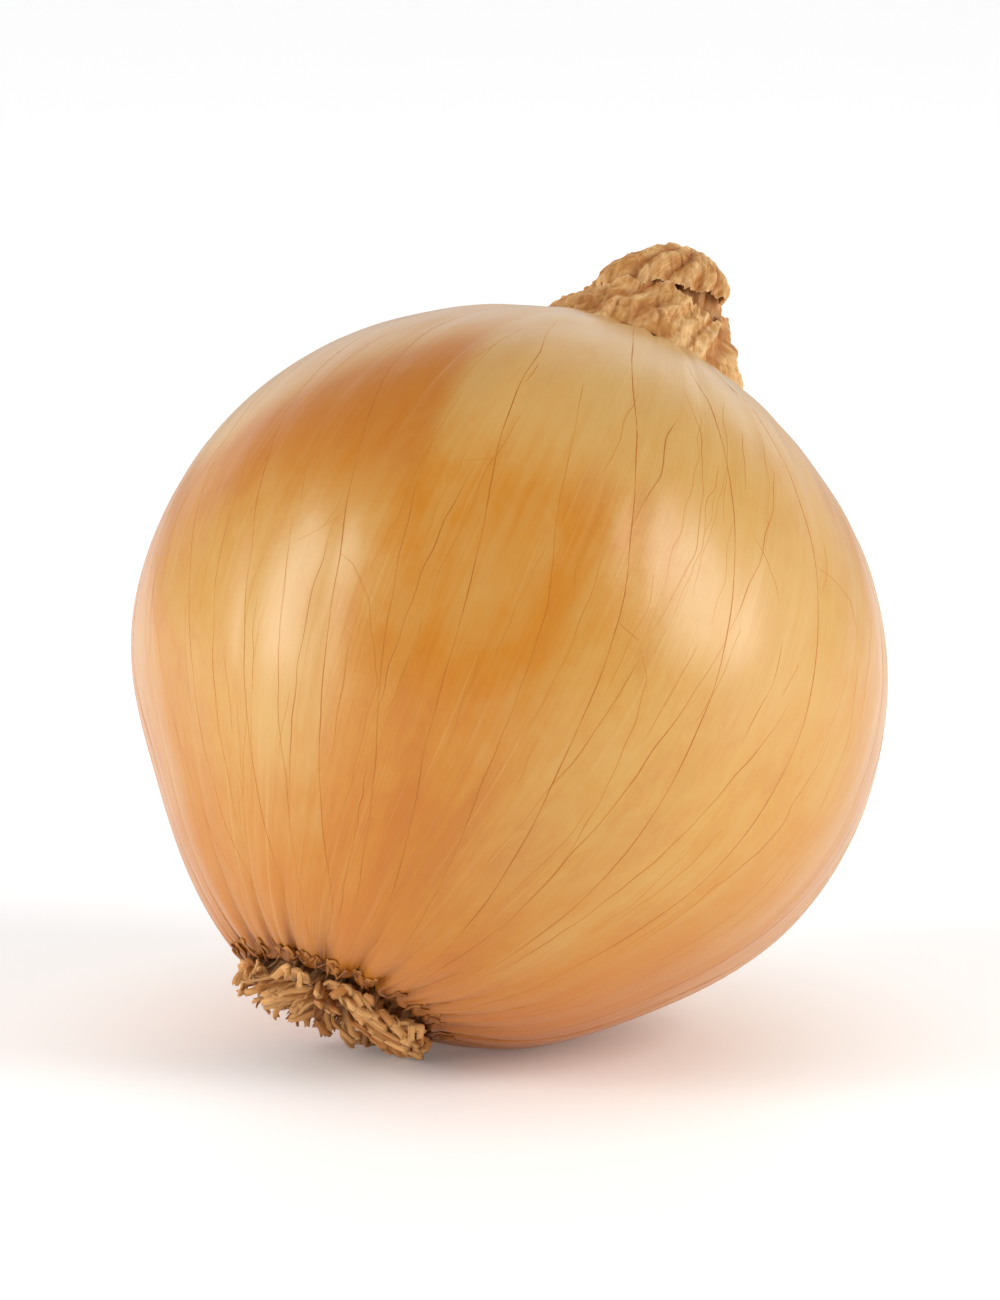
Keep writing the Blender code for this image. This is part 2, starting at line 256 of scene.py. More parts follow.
@dataclass
class Surface:
    """A piece's points in millimetres about the onion's axis, its faces, and its values per point."""

    points: Array
    faces: list[NDArray[np.int64]]
    values: dict[str, Array] = field(default_factory=dict)
    facing: Array | None = None

    @staticmethod
    def rings(rows: Array, values: dict[str, Array]) -> Surface:
        """A closed form from a grid of rings: quads from ring to ring, and a fan at each end.

        Args:
            rows: Ring points, (rows, columns, 3), running so that faces point outwards.
            values: Values per ring point, (rows, columns) or (rows, columns, 3).

        Returns:
            The surface.
        """
        count, columns = rows.shape[:2]
        index = np.arange(count * columns).reshape(count, columns)
        after = np.roll(index, -1, axis=1)
        quads = np.stack([index[:-1], after[:-1], after[1:], index[1:]], axis=-1).reshape(-1, 4)
        first = np.stack([np.full(columns, index.size), after[0], index[0]], axis=-1)
        last = np.stack([np.full(columns, index.size + 1), index[-1], after[-1]], axis=-1)

        def closed(grid: Array) -> Array:
            """The grid as one list, then the middle of its first ring and of its last."""
            flat = grid.reshape(count, columns, -1)
            return np.concatenate([flat.reshape(index.size, -1), flat[[0, -1]].mean(axis=1)])

        joined = {key: closed(value) for key, value in values.items()}
        return Surface(closed(rows), [quads, first, last], joined)

    @staticmethod
    def bundle(rows: Array, values: dict[str, Array]) -> Surface:
        """Many closed strands as one surface.

        Args:
            rows: Each strand's ring points, (strands, steps, sides, 3).
            values: Values per ring point, (strands, steps, sides) or (strands, steps, sides, 3).

        Returns:
            One surface, its strands unconnected.
        """
        parts = [
            Surface.rings(strand, {key: value[number] for key, value in values.items()})
            for number, strand in enumerate(rows)
        ]
        starts = np.cumsum([0] + [len(part.points) for part in parts])
        faces = [block + start for part, start in zip(parts, starts) for block in part.faces]
        joined = {key: np.concatenate([part.values[key] for part in parts]) for key in values}
        return Surface(np.concatenate([part.points for part in parts]), faces, joined)

    def piece(self, name: str, material: bpy.types.Material, slot: Slot, solid: Solid) -> bpy.types.Object:
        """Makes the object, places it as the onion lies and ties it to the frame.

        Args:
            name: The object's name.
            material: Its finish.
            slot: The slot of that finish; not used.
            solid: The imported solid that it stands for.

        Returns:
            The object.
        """
        mesh = bpy.data.meshes.new(name)
        faces = [face for block in self.faces for face in block.tolist()]
        mesh.from_pydata(LEAN.place(self.points).tolist(), [], faces)
        for key, value in self.values.items():
            kind, target = ("FLOAT", "value") if value.shape[1] == 1 else ("FLOAT_VECTOR", "vector")
            layer = mesh.attributes.new(key, kind, "POINT")
            layer.data.foreach_set(target, np.ascontiguousarray(value, np.float32).ravel())
        mesh.shade_smooth()
        if self.facing is not None:
            mesh.normals_split_custom_set_from_vertices(unit(self.facing @ LEAN.turn().T).tolist())
        mesh.materials.append(material)
        thing = bpy.data.objects.new(name, mesh)
        bpy.context.scene.collection.objects.link(thing)
        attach(thing, "root")
        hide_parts(solid.value)
        LOG.info("%s: %d points, %d faces", name, len(mesh.vertices), len(mesh.polygons))
        return thing


class Nodes:
    """A node tree, with short ways to add the nodes that the finishes and the surround use."""

    def __init__(self, tree: bpy.types.NodeTree) -> None:
        """Takes up the tree."""
        self.nodes = tree.nodes
        self.links = tree.links

    def add(self, kind: str, **inputs: object) -> bpy.types.Node:
        """Adds a node, with its settings, and its inputs set or linked.

        Args:
            kind: The node's type.
            **inputs: Values or sockets, by the names of settings, or of inputs with spaces as underscores.

        Returns:
            The node.
        """
        node = self.nodes.new(kind)
        for key, value in inputs.items():
            if hasattr(node, key) and key not in node.inputs:
                setattr(node, key, value)
        for key, value in inputs.items():
            name = key.replace("_", " ")
            if name in node.inputs:
                self.put(node.inputs[name], value)
        return node

    def put(self, socket: Socket, value: object) -> None:
        """Links a socket, or sets its value."""
        if isinstance(value, bpy.types.NodeSocket):
            self.links.new(value, socket)
        else:
            socket.default_value = value

    def span(
        self, value: Socket, low: float, high: float, to_low: float = 0.0, to_high: float = 1.0
    ) -> Socket:
        """Maps low..high to to_low..to_high, clamped, easing in and out.

        Args:
            value: The value.
            low: Where it starts.
            high: Where it ends.
            to_low: The result at low.
            to_high: The result at high.

        Returns:
            The mapped value.
        """
        node = self.add("ShaderNodeMapRange", interpolation_type="SMOOTHSTEP")
        for socket, given in zip(node.inputs[:5], (value, low, high, to_low, to_high)):
            self.put(socket, given)
        return node.outputs["Result"]

    def maths(self, operation: str, first: object, second: object) -> Socket:
        """Works out one value from two.

        Args:
            operation: The operation's name.
            first: A value or socket.
            second: A value or socket.

        Returns:
            The result.
        """
        node = self.add("ShaderNodeMath", operation=operation)
        self.put(node.inputs[0], first)
        self.put(node.inputs[1], second)
        return node.outputs["Value"]

    def weighted(self, *parts: tuple[Socket, float]) -> Socket:
        """Adds up sockets, each times its weight.

        Args:
            *parts: Sockets with their weights.

        Returns:
            The sum.
        """
        total, *rest = [self.maths("MULTIPLY", socket, weight) for socket, weight in parts]
        for share in rest:
            total = self.maths("ADD", total, share)
        return total


class Recipe(Nodes):
    """A material's node tree, from its Principled shader back."""

    def __init__(self, name: str) -> None:
        """Starts the material.

        Args:
            name: The material's name.
        """
        self.material = bpy.data.materials.new(name)
        self.material.use_nodes = True
        super().__init__(self.material.node_tree)
        self.shader = self.nodes["Principled BSDF"]

    def value(self, name: str) -> Socket:
        """A piece's own value per point."""
        return self.add("ShaderNodeAttribute", attribute_name=name).outputs["Fac"]

    def vector(self, name: str) -> Socket:
        """A piece's own vector per point."""
        return self.add("ShaderNodeAttribute", attribute_name=name).outputs["Vector"]

    def spot(self) -> Socket:
        """Object coordinates, in metres."""
        return self.add("ShaderNodeTexCoord").outputs["Object"]

    def noise(
        self, where: Socket, stretch: Colour, detail: float = 3.0, rough: float = 0.55, warp: float = 0.0
    ) -> Socket:
        """Noise on a stretched vector.

        Args:
            where: The vector.
            stretch: Its scale along each axis.
            detail: Octaves.
            rough: How strong the finer octaves are.
            warp: Distortion.

        Returns:
            The noise, about 0.5 in the middle.
        """
        mapped = self.add("ShaderNodeMapping", Vector=where, Scale=stretch).outputs["Vector"]
        node = self.add(
            "ShaderNodeTexNoise", Vector=mapped, Scale=1.0, Detail=detail, Roughness=rough, Distortion=warp
        )
        return node.outputs["Fac"]

    def mix(self, share: object, first: object, second: object) -> Socket:
        """Mixes two colours.

        Args:
            share: How much of the second.
            first: A colour or socket.
            second: A colour or socket.

        Returns:
            The colour.
        """
        node = self.add("ShaderNodeMix", data_type="RGBA")
        for socket, given in ((node.inputs[0], share), (node.inputs[6], first), (node.inputs[7], second)):
            self.put(socket, (*given, 1.0) if isinstance(given, tuple) and len(given) == 3 else given)
        return node.outputs[2]

    def ramp(self, share: Socket, stops: tuple[tuple[float, Colour], ...]) -> Socket:
        """A colour ramp.

        Args:
            share: Where on the ramp.
            stops: Positions and colours.

        Returns:
            The colour.
        """
        node = self.add("ShaderNodeValToRGB", Fac=share)
        elements = node.color_ramp.elements
        while len(elements) < len(stops):
            elements.new(0.5)
        for element, (position, colour) in zip(elements, stops):
            element.position = position
            element.color = (*colour, 1.0)
        return node.outputs["Color"]

    def bump(self, height: Socket, depth: float, strength: float, under: Socket | None = None) -> Socket:
        """A bump on top of another.

        Args:
            height: The height, 0 to 1.
            depth: What 1 stands for, in metres.
            strength: How much of it shows.
            under: The normal beneath.

        Returns:
            The normal.
        """
        node = self.add("ShaderNodeBump", Height=height, Distance=depth, Strength=strength)
        if under is not None:
            self.put(node.inputs["Normal"], under)
        return node.outputs["Normal"]

    def finish(
        self, colour: Socket, roughness: object, normal: Socket, **constants: object
    ) -> bpy.types.Material:
        """Wires the shader.

        Args:
            colour: Base colour.
            roughness: Roughness, a value or a socket.
            normal: The normal.
            **constants: The shader's other inputs, with spaces as underscores.

        Returns:
            The material.
        """
        self.put(self.shader.inputs["Base Color"], colour)
        self.put(self.shader.inputs["Roughness"], roughness)
        self.put(self.shader.inputs["Normal"], normal)
        for key, value in constants.items():
            self.shader.inputs[key.replace("_", " ")].default_value = value
        return self.material


@dataclass(frozen=True)
class SkinFinish:
    """Dry golden skin: clouds of tone, faint lengthwise streaks, browner and paler areas, partly painted
    shade and painted highlights, a satin sheen.
    """

    pale: Colour = (0.69, 0.385, 0.092)
    golden: Colour = (0.655, 0.248, 0.012)
    tawny: Colour = (0.59, 0.180, 0.005)
    brown: Colour = (0.30, 0.085, 0.006)
    frost_and_highlight_tint: Colour = (0.76, 0.47, 0.17)
    sheen: Colour = (0.97, 0.84, 0.66)
    roughness: float = 0.38

    def material(self) -> bpy.types.Material:
        """Makes the finish, on the skin's grain vector and its values of tone.

        Returns:
            The material.
        """
        make = Recipe(Slot.SKIN.value + "_skin")
        grain = make.vector("grain")
        cloud = make.noise(make.spot(), (75.0, 75.0, 75.0), 4.0, 0.55, 0.5)
        mottle = make.noise(grain, (17.0, 17.0, 9.0), 5.0, 0.62, 0.6)
        broad = make.noise(grain, (6.0, 6.0, 1.6), 3.0, 0.55, 0.4)
        streaks = make.noise(grain, (42.0, 42.0, 1.5), 5.0, 0.62, 0.3)
        hairs = make.noise(grain, (150.0, 150.0, 3.0), 3.0, 0.6, 0.2)
        strip = make.value("strip")
        tone = make.weighted(
            (cloud, 0.34), (mottle, 0.15), (broad, 0.32), (streaks, 0.14), (hairs, 0.05), (strip, 0.055)
        )
        colour = make.ramp(tone, ((0.395, self.tawny), (0.485, self.golden), (0.615, self.pale)))
        # the browner areas are partly painted shade at the root rim and in its furrows; the paler ones partly
        # painted highlights on the flanks and a painted rim reflection round the shoulder
        areas = (
            ("rust", mottle, (0.3, 0.7, 0.75, 1.1), self.tawny),
            ("faded_and_painted_highlight", mottle, (0.3, 0.7, 0.72, 1.05), self.pale),
            ("frost_and_painted_highlight", streaks, (0.3, 0.7, 0.70, 1.1), self.frost_and_highlight_tint),
            ("brown", cloud, (0.25, 0.75, 0.6, 1.3), self.brown),
        )
        for name, pattern, limits, shade in areas:
            share = make.maths("MULTIPLY", make.value(name), make.span(pattern, *limits))
            colour = make.mix(share, colour, shade)
        flecks = make.noise(grain, (95.0, 95.0, 14.0), 2.0, 0.5, 0.0)
        colour = make.mix(make.span(flecks, 0.70, 0.82, 0.0, 0.30), colour, self.tawny)
        lines = make.noise(grain, (64.0, 64.0, 1.3), 3.0, 0.55, 0.15)
        colour = make.mix(make.span(lines, 0.58, 0.74, 0.0, 0.24), colour, self.frost_and_highlight_tint)
        normal = make.bump(hairs, 0.00006, 0.5)
        normal = make.bump(streaks, 0.00014, 0.6, normal)
        dimples = make.noise(make.spot(), (300.0, 300.0, 300.0), 3.0, 0.55, 0.0)
        normal = make.bump(dimples, 0.00018, 0.5, normal)
        rough = make.span(streaks, 0.3, 0.7, self.roughness - 0.04, self.roughness + 0.05)
        make.shader.inputs["Specular Tint"].default_value = (*self.sheen, 1.0)
        coat = {"Coat_Weight": 0.72, "Coat_Roughness": 0.28, "Coat_IOR": 1.5}
        return make.finish(colour, rough, normal, Specular_IOR_Level=0.33, **coat)


@dataclass(frozen=True)
class VeinFinish:
    """Fine brown strands that sink into the skin's own gold where they are faint."""

    use: str = "_veins"
    gold: Colour = (0.62, 0.24, 0.018)
    brown: Colour = (0.50, 0.155, 0.014)
    roughness: float = 0.5

    def material(self) -> bpy.types.Material:
        """Makes the finish, on the strands' own strength.

        Returns:
            The material.
        """
        make = Recipe(Slot.SKIN.value + self.use)
        grain = make.noise(make.spot(), (900.0, 900.0, 900.0), 3.0, 0.6, 0.0)
        strength = make.maths("MULTIPLY", make.value("strength"), make.span(grain, 0.3, 0.6, 0.75, 1.1))
        colour = make.mix(strength, self.gold, self.brown)
        return make.finish(colour, self.roughness, make.bump(grain, 0.00003, 0.4), Specular_IOR_Level=0.35)


@dataclass(frozen=True)
class NeckFinish:
    """Withered leaf bases: matt crumpled tan, with painted shade down in the folds and hollows, pale torn
    rims, painted highlight on fold crests and fine lengthwise fibres.
    """

    pale: Colour = (0.86, 0.55, 0.25)
    tan: Colour = (0.61, 0.295, 0.080)
    umber: Colour = (0.47, 0.185, 0.042)
    brown: Colour = (0.36, 0.105, 0.016)
    roughness: float = 0.6

    def material(self) -> bpy.types.Material:
        """Makes the finish, on the neck's grain, on a painted shade that grows with how deep in a fold or
        hollow each point lies, and on its wear and painted highlight.

        Returns:
            The material.
        """
        make = Recipe(Slot.NECK.value + "_leaf")
        grain = make.vector("grain")
        fibres = make.noise(grain, (30.0, 30.0, 0.16), 4.0, 0.6, 0.5)
        blotch = make.noise(make.spot(), (560.0, 560.0, 560.0), 4.0, 0.6, 0.8)
        broad = make.noise(make.spot(), (190.0, 190.0, 190.0), 2.0, 0.5, 0.6)
        tone = make.weighted((fibres, 0.30), (blotch, 0.38), (broad, 0.32))
        colour = make.ramp(tone, ((0.42, self.umber), (0.50, self.tan), (0.60, self.pale)))
        # wear on the torn rims and painted highlight on the fold crests
        colour = make.mix(make.value("wear_and_painted_highlight"), colour, self.pale)
        # painted shade in folds and hollows
        colour = make.mix(make.value("deep"), colour, self.brown)
        normal = make.bump(fibres, 0.00007, 0.4)
        normal = make.bump(blotch, 0.00007, 0.4, normal)
        return make.finish(colour, self.roughness, normal, Specular_IOR_Level=0.35)


@dataclass(frozen=True)
class RootFinish:
    """Dry roots: straw outside, with a painted shade of dark brown at their bases and on the plate, striated
    lengthwise.
    """

    straw: Colour = (0.90, 0.475, 0.165)
    tan: Colour = (0.60, 0.225, 0.048)
    brown: Colour = (0.10, 0.028, 0.006)
    roughness: float = 0.6

    def material(self) -> bpy.types.Material:
        """Makes the finish, on how far out along its root each point lies, which sets a painted shade at the
        base, and on each root's own tone.

        Returns:
            The material.
        """
        make = Recipe(Slot.ROOTS.value + "_strands")
        grain = make.vector("grain")
        fibres = make.noise(grain, (3.2, 3.2, 0.22), 4.0, 0.6, 0.2)
        tone = make.weighted((fibres, 0.55), (make.value("tone"), 1.0))
        colour = make.ramp(tone, ((0.08, self.brown), (0.34, self.tan), (0.62, self.straw)))
        # painted shade at the roots' bases and on the plate
        colour = make.mix(make.value("base"), colour, self.brown)
        normal = make.bump(fibres, 0.00030, 0.9)
        return make.finish(colour, self.roughness, normal, Specular_IOR_Level=0.4)


@dataclass(frozen=True)
class Globe:
    """The bulb's form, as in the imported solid. Lengths in mm, angles in degrees."""

    radius: float = 40.2
    cone: tuple[float, float, float] = (0.040, 48.0, 18.7)
    shoulder: tuple[float, float, float] = (0.028, 152.0, 27.0)
    rim: tuple[float, float, float] = (0.004, 15.5, 7.0)
    lobes: float = 0.004
    pleats: int = 25
    root_pleats: tuple[float, float] = (0.62, 4.2)
    neck_pleats: tuple[float, float] = (0.35, 6.0)
    ribs: float = 0.06
    skirt: float = 11.7
    gather: tuple[float, float] = (0.30, 3.4)
    swell: float = 0.07
    pucker: float = 0.16

    def turn(self, base: Array) -> Array:
        """base + 0.035 sin(3 base + 1) + 0.018 sin(8 base + 2): pleats aren't all as wide."""
        return base + 0.035 * np.sin(3.0 * base + 1.0) + 0.018 * np.sin(8.0 * base + 2.0)

    def base(self, turn: Array) -> Array:
        """The base direction whose turn is given, found by stepping back along the difference.

        Args:
            turn: Direction round the axis, in radians.

        Returns:
            The base direction, in radians.
        """
        base = np.array(turn, dtype=float)
        for _ in range(8):
            base = base - (self.turn(base) - turn)
        return base

    def wave(self, base: Array) -> Array:
        """|sin(pleats base / 2)|^0.6: 0 in a furrow and 1 on a pleat's crown."""
        return np.abs(np.sin(0.5 * self.pleats * base)) ** 0.6

    def reach(self, polar: Array, base: Array) -> Array:
        """Distance from the centre to the smooth skin.

        R times 1 less the bells of cone and shoulder, plus that of the rim, plus lobes sin^2(polar)
        (cos(2 base + 0.6) + 0.7 cos(3 base + 2.2)).

        Args:
            polar: Angle from the root end, in radians.
            base: Direction round the axis, in radians.

        Returns:
            The distance.
        """
        degrees = np.degrees(polar)
        shape = 1.0 - self.cone[0] * bell(degrees, *self.cone[1:])
        shape = shape - self.shoulder[0] * bell(degrees, *self.shoulder[1:])
        shape = shape + self.rim[0] * bell(degrees, *self.rim[1:])
        lobes = np.cos(2.0 * base + 0.6) + 0.7 * np.cos(3.0 * base + 2.2)
        return self.radius * (shape + self.lobes * np.sin(polar) ** 2 * lobes)

    def furrow(self, polar: Array, base: Array) -> Array:
        """How deep the furrows lie: deep by the root end and the skirt, fading exponentially from both.

        Args:
            polar: Angle from the root end, in radians.
            base: Direction round the axis, in radians.

        Returns:
            The depth in mm, from 0.6 to 1.4 times its mean by a slow wave round the root end.
        """
        uneven = 1.0 + 0.4 * np.sin(3.0 * base + 0.5) * np.sin(7.0 * base + 1.0)
        from_root = np.maximum(0.0, self.radius * (polar - math.radians(self.rim[1])))
        from_neck = np.abs(self.radius * (math.pi - polar) - self.skirt)
        at_root = uneven * self.root_pleats[0] * np.exp(-from_root / self.root_pleats[1])
        return at_root + self.neck_pleats[0] * np.exp(-from_neck / self.neck_pleats[1]) + self.ribs

    def gathers(self, polar: Array, base: Array) -> Array:
        """Finer uneven folds pressed between the pleats at the root end, fading exponentially from its rim.

        Args:
            polar: Angle from the root end, in radians.
            base: Direction round the axis, in radians.

        Returns:
            Height above the smooth skin in mm, at most 0.
        """
        from_root = np.maximum(0.0, self.radius * (polar - math.radians(self.rim[1])))
        phase = self.pleats * base + 1.1 * np.sin(5.0 * base + 2.0) + 0.8
        return -self.gather[0] * (1.0 - np.abs(np.sin(phase)) ** 0.7) * np.exp(-from_root / self.gather[1])

    def relief(self, polar: Array, base: Array) -> Array:
        """The skin's own unevenness: long low swells, and fine puckers gathered under the neck.

        Args:
            polar: Angle from the root end, in radians.
            base: Direction round the axis, in radians.

        Returns:
            Height above the smooth skin, in mm.
        """
        ball = circle(base, 0.35 * polar)
        swell = self.swell * Ripple(3, 0.25, 0.7).at(ball)
        near_neck = np.exp(-self.radius * (math.pi - polar) / 16.0 + 0.7)
        fine = self.pucker * Ripple(4, 0.07, 0.16).at(ball) * near_neck
        return swell * np.sin(polar) + np.minimum(1.0, fine) * np.sin(polar)

    def skin(self, polar: Array, base: Array, lift: float | Array = 0.0) -> Array:
        """A point of the pleated skin about the onion's axis.

        Args:
            polar: Angle from the root end, in radians.
            base: Direction round the axis, in radians.
            lift: Height above the skin, in mm.

        Returns:
            Points, (..., 3).
        """
        reach = self.reach(polar, base) - self.furrow(polar, base) * (1.0 - self.wave(base))
        reach = reach + self.relief(polar, base) + self.gathers(polar, base) + lift
        turn = self.turn(base)
        out = reach * np.sin(polar)
        return np.stack([out * np.cos(turn), out * np.sin(turn), -reach * np.cos(polar)], axis=-1)


GLOBE = Globe()

# The main veins on the side that shows, each with its strength and its path from the neck down: degrees
# from the root end, and degrees round the axis.
SHOWN_VEINS: tuple[tuple[float, tuple[tuple[float, float], ...]], ...] = (
    (0.35, ((82, -74.0), (67, -67.8), (50, -64.9), (35, -58.6), (23, -43.4))),
    (0.6, (
        (101, -66.5), (87, -62.5), (78, -59.2), (67, -56.5), (50, -55.3), (37, -50.9), (26, -41.5),
        (18, -37.0),
    )),
    (0.55, ((99, -55.5), (88, -53.0), (77, -51.7), (69, -50.3), (55, -49.5), (41, -46.9), (34, -44.5))),
    (0.85, (
        (135, -59.5), (123, -56.9), (107, -54.0), (89, -48.2), (82, -45.8), (69, -43.3), (51, -40.9),
        (40, -37.4), (27, -29.3), (18, -24.0),
    )),
    (0.6, ((88, -39.9), (75, -36.7), (57, -34.1), (41, -29.5), (27, -23.5), (18, -17.0))),
    (0.7, ((89, -32.6), (79, -32.2), (71, -31.8), (51, -31.0), (44, -30.0))),
    (1.0, (
        (143, -44.0), (134, -42.4), (130, -42.7), (122, -41.1), (117, -40.0), (99, -34.1), (90, -31.7),
        (84, -29.7), (68, -27.1), (53, -24.9), (43, -21.7), (24, -10.5), (17, -9.0),
    )),
    (0.3, ((90, -31.7), (86, -35.5), (84, -37.6))),
    (0.5, ((84, -29.8), (83, -27.4), (79, -23.0), (67, -17.3))),
    (0.75, ((109, -25.2), (70, -17.8), (30, -7.0), (20, -3.0))),
    (0.9, ((103, -16.3), (97, -16.7), (84, -16.8), (62, -16.3))),
    (0.75, ((55, -15.3), (30, -11.3), (24, -10.4))),
    (1.0, (
        (143, -23.0), (135, -20.4), (129, -17.7), (123, -17.6), (105, -14.2), (98, -12.1), (85, -9.6),
        (61, -6.9), (30, 1.9), (17, 4.3),
    )),
    (0.35, ((105, -14.3), (103, -18.2))),
    (0.8, ((116, -5.3), (100, -2.4), (87, 1.6), (59, 4.4), (41, 8.6), (31, 10.7), (20, 13.0))),
    (1.2, (
        (160, -7.0), (154, -5.1), (132, 0.0), (120, 4.2), (112, 6.1), (92, 11.2), (89, 11.8), (67, 13.8),
        (48, 18.0), (37, 20.4), (17, 22.9),
    )),
    (0.55, ((89, 11.8), (88, 15.5))),
    (0.95, ((126, 10.4), (121, 9.6), (113, 9.8), (102, 8.3))),
    (0.5, ((134, 11.4), (126, 15.6), (105, 18.9), (90, 16.8))),
    (1.1, (
        (150, 11.5), (143, 13.4), (140, 15.7), (131, 18.9), (114, 23.8), (100, 27.1), (89, 29.2),
        (76, 30.5), (62, 32.5), (50, 34.3), (35, 34.6), (24, 34.0),
    )),
    (1.0, ((95, 28.2), (76, 25.2), (55, 25.0), (46, 26.2), (41, 26.4), (29, 25.2), (18, 26.0))),
    (0.65, ((127, 32.7), (113, 30.6), (105, 29.4), (96, 28.1))),
    (0.4, ((112, 28.1), (109, 31.7), (104, 35.5))),
    (1.1, (
        (154, 27.0), (148, 29.6), (142, 33.9), (136, 35.6), (124, 38.8), (117, 41.7), (113, 42.8),
        (104, 44.8), (92, 47.6), (84, 48.2), (64, 49.2), (49, 49.2), (36, 48.5), (22, 47.0),
    )),
    (0.45, ((114, 42.7), (114, 47.4), (113, 53.1), (109, 56.4))),
    (0.8, ((150, 58.0), (144, 60.4), (136, 63.5), (126, 65.2), (117, 68.8), (105, 71.2), (80, 73.0))),
    (0.85, ((92, 43.4), (78, 39.8), (67, 38.4), (54, 37.7), (40, 37.5), (30, 36.0))),
    (0.7, ((92, 55.0), (81, 53.5), (78, 54.6), (63, 52.0), (50, 53.0))),
    (0.6, ((99, 37.7), (92, 38.4), (83, 37.9))),
    (0.45, ((98, 42.3), (92, 41.2))),
    (0.65, ((86, 16.8), (74, 15.7), (63, 14.7))),
    (0.55, ((87, 16.4), (84, 18.9), (81, 19.7), (76, 20.6), (63, 23.0), (55, 24.8))),
    (0.4, ((92, 24.0), (75, 22.8))),
    (0.35, ((105, 56.8), (94, 59.5), (80, 61.0))),
    (0.35, ((74, 61.2), (65, 62.1), (52, 61.7))),
    (0.7, ((38, 49.1), (29, 48.6), (20, 48.5))),
    (0.4, ((41, 66.6), (23, 58.2))),
    (0.4, ((35, 32.0), (29, 33.2), (22, 33.5))),
    (0.5, ((103, -43.1), (98, -42.4), (90, -39.7))),
    (0.4, ((79, -4.8), (62, -3.3))),
    (0.45, ((98, 6.0), (81, 6.9), (70, 6.5))),
    (0.45, ((132, 25.1), (119, 25.3))),
    (0.4, ((120, 20.1), (114, 18.8), (108, 19.1))),
    (0.35, ((115, 62.3), (105, 60.8), (96, 62.0))),
    (0.5, ((71, -23.4), (53, -22.4))),
    (0.5, ((27, -24.6), (17, -17.6))),
    (0.45, ((118, -70.5), (101, -65.8), (88, -69.0))),
    (0.5, ((75, -42.0), (61, -40.3))),
    (0.4, ((125, -7.4), (116, -5.3))),
    (0.4, ((128, -26.4), (123, -27.4))),
    (0.5, ((126, -16.6), (121, -16.4))),
)


